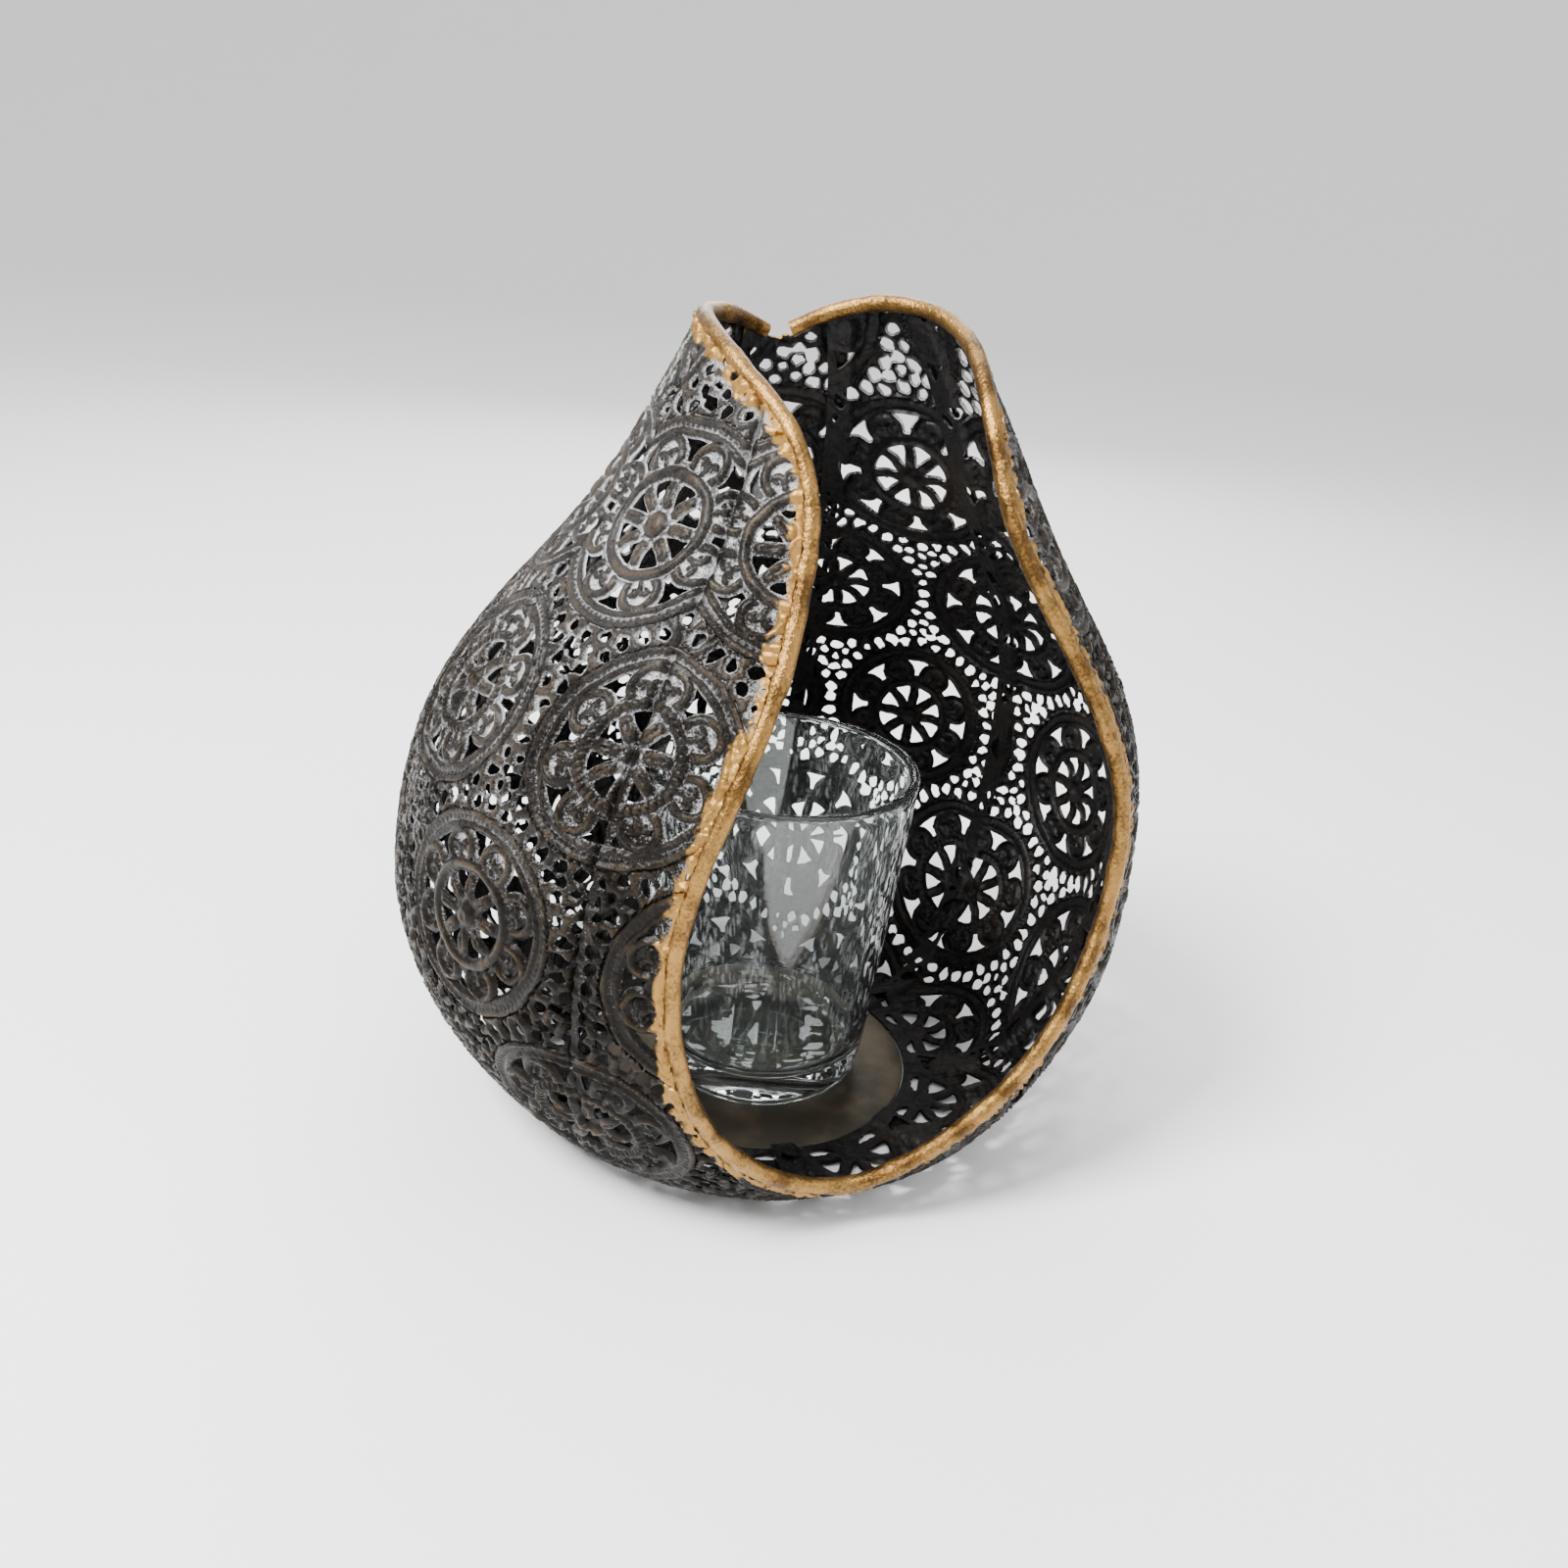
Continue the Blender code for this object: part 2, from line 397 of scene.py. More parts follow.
def clean_sheet(mesh: bpy.types.Mesh, smallest: int = 60) -> None:
    """Part a pierced sheet where it hangs together at a single point, and drop its loose scraps.

    Args:
        mesh: The open sheet, changed in place.
        smallest: Number of faces under which a separate part is a scrap.
    """
    sheet = bmesh.new()
    sheet.from_mesh(mesh)
    for point in list(sheet.verts):
        if sum(edge.is_boundary for edge in point.link_edges) > 2:
            bmesh.utils.vert_separate(point, [])
    waiting = set(sheet.faces)
    scraps = []
    while waiting:
        part, border = [], [waiting.pop()]
        while border:
            face = border.pop()
            part.append(face)
            near = {other for edge in face.edges for other in edge.link_faces} & waiting
            waiting -= near
            border.extend(near)
        if len(part) < smallest:
            scraps += part
    bmesh.ops.delete(sheet, geom=scraps, context="FACES")
    sheet.to_mesh(mesh)
    sheet.free()


def run_tree(
    tree: NodeTree, name: str, inputs: dict, thickness: float = 0.0, inner: bpy.types.Material | None = None
) -> bpy.types.Object:
    """Run a tree once and keep its result as a plain mesh.

    Args:
        tree: The tree to run.
        name: Name of the piece that results.
        inputs: Input name to value.
        thickness: Thickness that a sheet is given, in millimetres.
        inner: Finish of a thickened sheet's inner face.

    Returns:
        The new object, with no modifier left on it.
    """
    holder = bpy.data.objects.new(name + "_tree", bpy.data.meshes.new(name + "_seed"))
    bpy.context.scene.collection.objects.link(holder)
    modifier = holder.modifiers.new("shape", "NODES")
    modifier.node_group = tree.tree
    for item in tree.tree.interface.items_tree:
        if item.in_out == "INPUT" and item.name in inputs:
            modifier[item.identifier] = inputs[item.name]
    mesh = baked(holder)
    if inner is not None:
        clean_sheet(mesh)
        mesh.materials.append(inner)
        holder.modifiers.clear()
        holder.data = mesh
        sheet = holder.modifiers.new("sheet", "SOLIDIFY")
        sheet.thickness, sheet.offset = thickness * MM, 0.0
        sheet.material_offset = 1
        mesh = baked(holder)
    mesh.name = name
    holder.modifiers.clear()
    bpy.data.objects.remove(holder)
    return add_piece(name, mesh)


def add_piece(name: str, mesh: bpy.types.Mesh) -> bpy.types.Object:
    """Link a mesh into the scene as an object at the origin.

    Args:
        name: The object's name.
        mesh: Its mesh.

    Returns:
        The new object.
    """
    piece = bpy.data.objects.new(name, mesh)
    bpy.context.scene.collection.objects.link(piece)
    return piece


# ---------------------------------------------------------------------------------------------------
# The shell's surface and the opening
# ---------------------------------------------------------------------------------------------------


def natural_spline(at: np.ndarray, values: np.ndarray, where: np.ndarray) -> np.ndarray:
    """Evaluate a natural cubic spline.

    Args:
        at: Rising parameter of each knot.
        values: Value at each knot.
        where: Parameters to evaluate.

    Returns:
        The values at `where`.
    """
    steps = np.diff(at)
    matrix, right = np.eye(len(at)), np.zeros(len(at))
    for i in range(1, len(at) - 1):
        matrix[i, i - 1 : i + 2] = steps[i - 1], 2 * (steps[i - 1] + steps[i]), steps[i]
        right[i] = 3 * ((values[i + 1] - values[i]) / steps[i] - (values[i] - values[i - 1]) / steps[i - 1])
    bend = np.linalg.solve(matrix, right)
    k = np.clip(np.searchsorted(at, where) - 1, 0, len(at) - 2)
    h, x = steps[k], where - at[k]
    slope = (values[k + 1] - values[k]) / h - h * (2 * bend[k] + bend[k + 1]) / 3
    return values[k] + slope * x + bend[k] * x**2 + (bend[k + 1] - bend[k]) / (3 * h) * x**3


@dataclass
class Shell:
    """The pear-shaped surface. A place on it is an angle from the front and a length up the meridian."""

    outline: list[tuple[float, float, float]]
    step: float = 1.0
    along: np.ndarray = field(init=False)
    height: np.ndarray = field(init=False)
    radius: np.ndarray = field(init=False)
    shift: np.ndarray = field(init=False)
    rise: np.ndarray = field(init=False)
    spread: np.ndarray = field(init=False)

    def __post_init__(self) -> None:
        """Run a spline through the outline's stations."""
        height, radius, shift = np.array(self.outline).T
        knots = np.concatenate([[0], np.cumsum(np.hypot(np.diff(height), np.diff(radius)))])
        self.along = np.arange(0, knots[-1], self.step)
        self.height, self.radius, self.shift = (
            natural_spline(knots, values, self.along) for values in (height, radius, shift)
        )
        self.rise = np.gradient(self.height, self.along)
        self.spread = np.gradient(self.radius, self.along)

    def at_height(self, height: np.ndarray) -> np.ndarray:
        """Return the length up the meridian at a height."""
        return np.interp(height, self.height, self.along)

    def radius_at(self, along: np.ndarray) -> np.ndarray:
        """Return the radius at a length up the meridian."""
        return np.interp(along, self.along, self.radius)

    def place(self, angle: np.ndarray, along: np.ndarray, inwards: float = 0.0) -> np.ndarray:
        """Return points in space.

        Args:
            angle: Degrees from the front, positive towards +X.
            along: Lengths up the meridian.
            inwards: Distance moved in from the surface.

        Returns:
            An array of points, in millimetres.
        """
        rise, spread, radius, height, shift = (
            np.interp(along, self.along, values)
            for values in (self.rise, self.spread, self.radius, self.height, self.shift)
        )
        turn = np.radians(angle)
        radius = radius - inwards * rise
        height = height + inwards * spread
        return np.stack([radius * np.sin(turn), -radius * np.cos(turn) - shift, height], axis=-1)

    def meridian_object(self) -> bpy.types.Object:
        """Lay the outline out for the gore tree to read.

        Returns:
            A line object whose points are (radius, height, shift), with the slope at each.
        """
        points = np.stack([self.radius, self.height, self.shift], axis=1)
        mesh = bpy.data.meshes.new("meridian")
        mesh.from_pydata(points.tolist(), [(i, i + 1) for i in range(len(points) - 1)], [])
        slope = mesh.attributes.new("slope", "FLOAT_VECTOR", "POINT")
        slope.data.foreach_set("vector", np.stack([self.spread, self.rise, self.rise * 0], axis=1).ravel())
        return add_piece("meridian", mesh)


@dataclass
class Opening:
    """The edge line of the front and top opening, which the rim wire follows."""

    shell: Shell
    knots: list[tuple[float, float]]
    step: float = 0.8
    length: np.ndarray = field(init=False)
    angle: np.ndarray = field(init=False)
    along: np.ndarray = field(init=False)

    def __post_init__(self) -> None:
        """Run a spline through the knots, measured on the shell."""
        angle, height = np.array(self.knots).T
        along = self.shell.at_height(height)
        scale = np.radians(self.shell.radius_at(along))
        chords = np.hypot(np.diff(angle) * (scale[1:] + scale[:-1]) / 2, np.diff(along))
        knots = np.concatenate([[0], np.cumsum(chords)])
        self.length = np.arange(0, knots[-1], self.step)
        self.angle = natural_spline(knots, angle, self.length)
        self.along = natural_spline(knots, along, self.length)

    def reach_of(self, middle: float, half: float) -> float:
        """Find how far up a gore reaches.

        Args:
            middle: Angle of its centre line.
            half: Half the angle between its seams.

        Returns:
            The length up the meridian of the highest point of the edge line over it.
        """
        angle = (self.angle - middle + 180.0) % 360.0 - 180.0
        return float(self.along[np.abs(angle) < half + 6.0].max())

    def space_line(self, ends: float, spacing: float) -> bpy.types.Object:
        """Lay the edge line out in space, for the rim wire to follow.

        Args:
            ends: Length left off at each end.
            spacing: Distance between its points.

        Returns:
            A line object in metres.
        """
        at = np.arange(ends, self.length[-1] - ends, spacing)
        angle, along = (np.interp(at, self.length, values) for values in (self.angle, self.along))
        points = self.shell.place(angle, along) * MM
        mesh = bpy.data.meshes.new("rim_line")
        mesh.from_pydata(points.tolist(), [(i, i + 1) for i in range(len(points) - 1)], [])
        return add_piece("rim_line", mesh)

    def flat_line(self, middle: float, reach: float) -> bpy.types.Object:
        """Return the edge line as a gore laid flat sees it.

        Args:
            middle: Angle of the gore's centre line.
            reach: How far to either side the line is kept, in degrees.

        Returns:
            A line object in the flat gore's plane, whose `inward` attribute points into the sheet.
        """
        points, inward, edges = [], [], []
        for turn in (-360.0, 0.0, 360.0):
            angle = self.angle + turn - middle
            x = np.radians(angle) * self.shell.radius_at(self.along)
            across, up = np.gradient(x), np.gradient(self.along)
            size = np.hypot(across, up)
            keep = np.abs(angle) < reach
            for i in np.flatnonzero(keep):
                if i and keep[i - 1] and points:
                    edges.append((len(points) - 1, len(points)))
                points.append((x[i], self.along[i], 0.0))
                inward.append((-up[i] / size[i], across[i] / size[i], 0.0))
        mesh = bpy.data.meshes.new("edge_line")
        mesh.from_pydata(points, edges, [])
        mesh.attributes.new("inward", "FLOAT_VECTOR", "POINT").data.foreach_set("vector", np.ravel(inward))
        return add_piece("edge_line", mesh)


# ---------------------------------------------------------------------------------------------------
# The pierced and embossed sheet
# ---------------------------------------------------------------------------------------------------


@dataclass(frozen=True)
class Rosette:
    """Sizes of the round ornament that repeats over the sheet, as radii from its centre in mm."""

    pitch: float = 50.2
    boss: float = 2.7
    boss_ring: float = 1.2
    petals: int = 8
    petal_at: float = 6.3
    petal_half: float = 2.9
    petal_wide: float = 1.45
    window_start: float = 3.7
    window_end: float = 9.5
    window_half_angle: float = 24.0
    window_corner: float = 1.2
    collar: float = 10.9
    collar_half: float = 1.25
    collar_beads: int = 44
    scroll_at: float = 14.6
    scroll: float = 3.6
    scroll_half: float = 0.85
    curl: float = 1.15
    curl_half: float = 0.6
    vent_start: float = 13.2
    vent_end: float = 18.2
    vent_clear: float = 4.75
    vent_corner: float = 0.8
    band_in: float = 19.0
    band_out: float = 21.7
    cord_strands: int = 90
    margin: float = 0.9


@dataclass(frozen=True)
class Emboss:
    """How high each ornament stands, as shares of the sheet's deepest emboss."""

    boss: float = 0.9
    petal: float = 0.75
    petal_groove: float = 0.3
    collar: float = 0.85
    bead_dip: float = 0.45
    plain_collar: float = 0.85
    scroll: float = 0.72
    curl: float = 0.6
    band: float = 0.22
    band_inner_line: float = 0.45
    band_outer_line: float = 0.5
    cord: float = 0.2
    hole_lip: float = 0.3
    filler: float = 0.22
    filler_lip: float = 0.45
    filler_ring: float = 0.75


@dataclass
class SheetPattern:
    """The field that says where the sheet is pierced and how high it stands."""

    rosette: Rosette
    heights: Emboss
    first_row: float = 5.2
    waver: float = 1.5
    waver_scale: float = 0.16

    def build(self) -> bpy.types.NodeTree:
        """Build the node group.

        Returns:
            A group with inputs X, Y and Seed, and outputs Hole (over 0 inside a hole, in mm) and Relief.
        """
        nodes = NodeTree("pierced_pattern", makes_geometry=False)
        x, y, seed = nodes.number("X"), nodes.number("Y"), nodes.number("Seed")
        at = nodes.join(x, y, seed * 7.3)
        waver_x = nodes.noise(at, self.waver_scale)
        waver_y = nodes.noise(nodes.join(y + 40.0, x, seed * 3.1), self.waver_scale)
        x = x + (waver_x - 0.5) * self.waver
        y = y + (waver_y - 0.5) * self.waver
        dx, dy, plain = self.nearest(x, y)
        distance = hypot(dx, dy).most(0.001)
        turn = dy.op("ARCTAN2", dx)
        hole, relief = self.ornament(distance, turn, plain)
        filler_hole, filler_relief = self.filler(nodes, distance, turn, at)
        inside = distance.under(self.rosette.band_out + self.rosette.margin)
        nodes.output("Hole", pick(inside, hole, filler_hole))
        nodes.output("Relief", pick(inside, relief, filler_relief))
        return nodes.tree

    def nearest(self, x: Num, y: Num) -> tuple[Num, Num, Num]:
        """Find the nearest rosette's centre.

        Args:
            x: Place across the gore.
            y: Place up the gore.

        Returns:
            The offset from that centre, and 1 on the rows that are centred on the gore.
        """
        pitch, row = self.rosette.pitch, self.rosette.pitch * math.sqrt(3) / 2
        ax, ay = x.centred(pitch), (y - self.first_row).centred(2 * row)
        bx, by = (x - pitch / 2).centred(pitch), (y - self.first_row - row).centred(2 * row)
        near_a = (ax * ax + ay * ay).under(bx * bx + by * by)
        return pick(near_a, ax, bx), pick(near_a, ay, by), near_a

    @staticmethod
    def sector(distance: Num, turn: Num, count: int, offset: float = 0.0) -> tuple[Num, Num]:
        """Fold a rosette into one of its repeats.

        Args:
            distance: Distance from the centre.
            turn: Angle round the centre, in radians.
            count: Number of repeats.
            offset: Share of a repeat that the axis is turned by.

        Returns:
            Place along the repeat's axis and distance to its side, both positive.
        """
        step = 2 * math.pi / count
        folded = (turn - offset * step).centred(step)
        return distance * folded.cos(), (distance * folded.sin()).abs()

    @staticmethod
    def wedge(along: Num, side: Num, start: float, end: Num, half_angle: float, soft: float) -> Num:
        """Return a rounded wedge, over 0 inside.

        Args:
            along: Place along the wedge's axis.
            side: Distance to the side of the axis.
            start: Where the wedge's point is.
            end: Distance beyond the wedge's round outer end.
            half_angle: Half the wedge's angle, in degrees.
            soft: Roundness of its corners.

        Returns:
            Distance to the wedge's edge.
        """
        turn = math.radians(half_angle)
        flank = side * math.cos(turn) - (along - start) * math.sin(turn)
        return -(flank.soft_most(end, soft))

    def ornament(self, distance: Num, turn: Num, plain: Num) -> tuple[Num, Num]:
        """Build one rosette: boss, petals, windows, collar, scrolls, vents and double band.

        Args:
            distance: Distance from the rosette's centre.
            turn: Angle round it.
            plain: 1 where its collar is plain, 0 where it is beaded.

        Returns:
            Distance into the nearest hole, and the height of the relief.
        """
        size, height = self.rosette, self.heights
        petal_x, petal_y = self.sector(distance, turn, size.petals)
        along, side = self.sector(distance, turn, size.petals, 0.5)
        past_window = distance - size.window_end
        window = self.wedge(
            along, side, size.window_start, past_window, size.window_half_angle, size.window_corner
        )
        scroll_x = along - size.scroll_at
        scroll = hypot(scroll_x, side)
        vent = (distance - size.vent_end).soft_most(scroll.rsub(size.vent_clear), size.vent_corner)
        vent = -(vent.soft_most(distance.rsub(size.vent_start), size.vent_corner))
        hole = window.most(vent)

        boss = (distance / size.boss).least(1.0)
        boss = (boss * boss).rsub(1.0).sqrt() * height.boss + (distance - size.boss_ring).ridge(0.6) * 0.2
        leaf = hypot((petal_x - size.petal_at) / size.petal_half, petal_y / size.petal_wide)
        petal = leaf.ramp(1.1, 0.55) * height.petal + (leaf - 0.95).ridge(0.3) * 0.15
        petal = petal - petal_y.ridge(0.4) * leaf.ramp(0.8, 0.4) * height.petal_groove
        beads = (turn * float(size.collar_beads)).cos() * 0.5 + 0.5
        beads = beads * (1.0 - height.bead_dip) + height.bead_dip
        beads = beads + beads.rsub(height.plain_collar) * plain
        collar = (distance - size.collar).ridge(size.collar_half) * height.collar * beads
        arch = (scroll - size.scroll).ridge(size.scroll_half) * scroll_x.ramp(-2.9, -1.9) * height.scroll
        curl = hypot(scroll_x + 0.5, side - size.curl - 0.2)
        curls = (curl - size.curl).ridge(size.curl_half) * (scroll_x - side * 0.6).ramp(-1.9, -0.9)
        eye = curl.ridge(0.62) * height.curl
        stem = hypot(scroll_x + 1.9, side * 1.3).ridge(1.0) * height.curl
        past_in, past_out = distance - size.band_in, distance - size.band_out
        band = (past_in + 0.5).ramp(0.0, 0.7) * past_out.ramp(0.7, 0.0) * height.band
        lines = past_in.ridge(0.7) * height.band_inner_line
        lines = lines.most(past_out.ridge(0.75) * height.band_outer_line)
        cord = (turn * float(size.cord_strands)).cos() * 0.5 + 0.5
        cord = cord * (past_out + 1.1).ridge(0.5) * height.cord
        lip = (hole + 0.55).ridge(0.55) * height.hole_lip
        relief = boss.most(petal).most(collar).most(arch).most(curls * height.curl).most(eye).most(stem)
        return hole, relief.most(band + lines + cord).most(lip)

    def filler(self, nodes: NodeTree, distance: Num, turn: Num, at: Socket) -> tuple[Num, Num]:
        """Build the small holes between rosettes, each with its raised lip.

        Args:
            nodes: The tree being built.
            distance: Distance from the nearest rosette's centre.
            turn: Angle round it.
            at: Place that seeds the variation from hole to hole.

        Returns:
            Distance into the nearest hole, and the height of the relief.
        """
        half, corner = self.rosette.pitch / 2, self.rosette.pitch / 2 / math.sqrt(3)
        across, side = self.sector(distance, turn, 6)
        # Each hole's centre, and half its width and height
        spots = (
            (half, 0.0, 2.1, 1.6),
            (half, 4.0, 2.0, 1.5),
            (half - 2.1, 7.9, 1.6, 1.6),
            (half, 11.0, 1.6, 1.4),
            (half - 3.4, 12.3, 1.7, 1.5),
            (half, corner + 0.1, 1.7, 1.5),
        )
        holes = None
        for spot_x, spot_y, reach_x, reach_y in spots:
            one = hypot((across - spot_x) / reach_x, (side - spot_y) / reach_y)
            one = one.rsub(1.0) * min(reach_x, reach_y)
            holes = one if holes is None else holes.most(one)
        broad, narrow = nodes.noise(at, 0.22, 0.0) - 0.5, nodes.noise(at, 0.6, 0.0) - 0.5
        holes = holes + broad * 1.6 + narrow * 1.1 - 0.1
        lip = (holes + 0.75).ridge(0.7) * self.heights.filler_lip + self.heights.filler
        ring = (distance - self.rosette.band_out).ridge(0.65) * self.heights.filler_ring
        return holes, lip.most(ring)


@dataclass
class GoreTree:
    """The Geometry Nodes tree that pierces, embosses and wraps one gore.

    Sizes are in millimetres. A pair says where the unpierced strip along an edge starts and where it ends.
    """

    pattern: SheetPattern
    cell: float = 0.52
    solid_edge: tuple[float, float] = (2.2, 5.2)
    solid_seam: tuple[float, float] = (-1.4, 0.2)
    solid_foot: tuple[float, float] = (0.8, 2.6)
    foot_fade: float = 15.0
    lap_relief: float = 0.25
    sheet: float = 0.6
    lap_drop: float = 1.2
    joggle: float = 2.0
    seam_gap: float = 0.3
    edge_tuck: float = 1.1
    emboss: float = 1.4
    sway: float = 0.35

    def build(self) -> NodeTree:
        """Build the tree.

        Returns:
            A tree with named inputs for the gore's place, width, laps, seed and material.
        """
        nodes = NodeTree("pierced_gore")
        self.nodes = nodes
        meridian = nodes.input("Meridian", "NodeSocketObject")
        edge_line = nodes.input("Edge line", "NodeSocketObject")
        self.middle, self.half = nodes.number("Middle angle"), nodes.number("Half angle")
        self.lap_left, self.lap_right = nodes.number("Lap left"), nodes.number("Lap right")
        self.width, self.length = nodes.number("Flat width"), nodes.number("Flat length")
        self.step, self.seed = nodes.number("Meridian step", 1.0), nodes.number("Seed")
        material = nodes.input("Material", "NodeSocketMaterial")
        self.meridian = nodes.node("GeometryNodeObjectInfo", {"Object": meridian}).outputs["Geometry"]
        self.edge_line = nodes.node("GeometryNodeObjectInfo", {"Object": edge_line}).outputs["Geometry"]
        self.group = self.pattern.build()

        sheet = self.flat_sheet()
        sheet = self.snap(sheet)
        sheet = self.pierce(sheet)
        sheet = self.wrap(sheet)
        nodes.finish(sheet, material)
        return nodes

    def flat_sheet(self) -> Socket:
        """Make the sheet before it is cut.

        Returns:
            A flat sheet of even triangles, lying in X across and Y up the gore.
        """
        nodes, row = self.nodes, self.cell * math.sqrt(3) / 2
        columns = (self.width / self.cell).op("ROUND")
        rows = (self.length / row).op("ROUND")
        grid = nodes.node(
            "GeometryNodeMeshGrid",
            {
                "Size X": columns * self.cell,
                "Size Y": rows * row,
                "Vertices X": columns + 1.0,
                "Vertices Y": rows + 1.0,
            },
        )
        x, y, _ = nodes.split(nodes.position())
        up = y + rows * (row / 2)
        odd = (up / row).op("ROUND").op("PINGPONG", 1.0)
        place = nodes.join(x + (odd - 0.5) * (self.cell / 2), up, 0.0)
        moved = nodes.node("GeometryNodeSetPosition", {"Geometry": grid.outputs[0], "Position": place})
        split = nodes.node(
            "GeometryNodeTriangulate", {0: moved.outputs[0]}, quad_method="SHORTEST_DIAGONAL"
        )
        return split.outputs[0]

    def sample_meridian(self, along: Num) -> tuple[Num, ...]:
        """Read the shell's outline.

        Args:
            along: Length up the meridian.

        Returns:
            Radius, height, forward shift, and how the radius and the height change along it.
        """
        nodes = self.nodes
        index = along / self.step
        low = index.op("FLOOR")
        share = index - low
        found = []
        for source in (nodes.position(), nodes.read("slope", "FLOAT_VECTOR")):
            ends = [
                nodes.node(
                    "GeometryNodeSampleIndex",
                    {"Geometry": self.meridian, "Value": source, "Index": at},
                    data_type="FLOAT_VECTOR",
                    clamp=True,
                ).outputs[0]
                for at in (low, low + 1.0)
            ]
            one, other = (nodes.split(end) for end in ends)
            found += [a + (b - a) * share for a, b in zip(one, other)]
        return tuple(found[:5])

    def edge_distance(self, x: Num, y: Num) -> Num:
        """Measure from the opening.

        Args:
            x: Place across the gore.
            y: Place up the gore.

        Returns:
            Distance into the sheet from the opening's edge line, under 0 in the opening.
        """
        nodes = self.nodes
        at = nodes.join(x, y, 0.0)
        near = nodes.node("GeometryNodeProximity", {"Geometry": self.edge_line}, target_element="EDGES")
        nodes.tree.links.new(at, near.inputs["Sample Position"])
        index = nodes.node("GeometryNodeSampleNearest", {"Geometry": self.edge_line}, domain="POINT")
        nodes.tree.links.new(at, index.inputs["Sample Position"])
        found = {
            "Geometry": self.edge_line,
            "Value": nodes.read("inward", "FLOAT_VECTOR"),
            "Index": index.outputs[0],
        }
        inward = nodes.node("GeometryNodeSampleIndex", found, data_type="FLOAT_VECTOR").outputs[0]
        away = nodes.node("ShaderNodeVectorMath", {0: at, 1: near.outputs["Position"]}, operation="SUBTRACT")
        side = nodes.node("ShaderNodeVectorMath", {0: away.outputs[0], 1: inward}, operation="DOT_PRODUCT")
        sign = Num(nodes.tree, side.outputs["Value"]).op("SIGN")
        return sign * Num(nodes.tree, near.outputs["Distance"])

    def seams(self, x: Num, y: Num) -> tuple[Num, Num]:
        """Measure from the seams.

        Args:
            x: Place across the gore.
            y: Place up the gore.

        Returns:
            How far the place lies beyond the left and the right seam, under 0 between them.
        """
        radius = self.sample_meridian(y)[0]
        half = radius * self.half * math.radians(1)
        return -x - half, x - half

    def pattern_at(self, x: Num, y: Num) -> tuple[Num, Num]:
        """Read the pattern.

        Args:
            x: Place across the gore.
            y: Place up the gore.

        Returns:
            Distance into the nearest hole, and the height of the relief.
        """
        node = self.nodes.node("GeometryNodeGroup", {}, node_tree=self.group)
        for name, value in (("X", x), ("Y", y), ("Seed", self.seed)):
            self.nodes.tree.links.new(value.socket, node.inputs[name])
        return Num(self.nodes.tree, node.outputs["Hole"]), Num(self.nodes.tree, node.outputs["Relief"])

    def cut(self, x: Num, y: Num) -> Num:
        """Measure how far a place lies in whatever is cut away: a hole, the opening, or past a free edge.

        Args:
            x: Place across the gore.
            y: Place up the gore.

        Returns:
            The distance, over 0 where there is no sheet.
        """
        edge = self.edge_distance(x, y)
        left, right = self.seams(x, y)
        left, right = left - self.lap_left, right - self.lap_right
        hole, _ = self.pattern_at(x, y)
        ragged = self.nodes.noise(self.nodes.join(x, y, self.seed), 0.45, 1.0) * 2.6 - 0.35
        hole = hole - edge.ramp(*self.solid_edge, 1.0, 0.0) * ragged
        hole = hole - (left + 0.6).ramp(*self.solid_seam) * 2.5 - (right + 0.6).ramp(*self.solid_seam) * 2.5
        hole = hole - y.ramp(*self.solid_foot, 3.0, 0.0)
        away = hole.most(edge.rsub(self.edge_tuck))
        return away.most(left).most(right)

    def snap(self, sheet: Socket) -> Socket:
        """Move the points beside each outline onto it.

        Args:
            sheet: The flat sheet.

        Returns:
            The same sheet with its points moved.
        """
        nodes, tiny = self.nodes, 0.05
        x, y, _ = nodes.split(nodes.position())
        here = self.cut(x, y)
        slope_x = (self.cut(x + tiny, y) - here) / tiny
        slope_y = (self.cut(x, y + tiny) - here) / tiny
        steep = (slope_x * slope_x + slope_y * slope_y).most(0.04)
        near = (here.abs() / steep.sqrt()).under(self.cell * 0.5)
        move = here / steep * near
        place = nodes.join(x - slope_x * move, y - slope_y * move, 0.0)
        return nodes.node("GeometryNodeSetPosition", {"Geometry": sheet, "Position": place}).outputs[0]

    def pierce(self, sheet: Socket) -> Socket:
        """Remove every triangle inside an outline.

        Args:
            sheet: The flat sheet, whose points lie on the outlines.

        Returns:
            The pierced sheet.
        """
        nodes = self.nodes
        x, y, _ = nodes.split(nodes.position())
        inside = self.cut(x, y).op("GREATER_THAN", 0.0)
        return nodes.node(
            "GeometryNodeDeleteGeometry", {"Geometry": sheet, "Selection": inside}, domain="FACE"
        ).outputs[0]

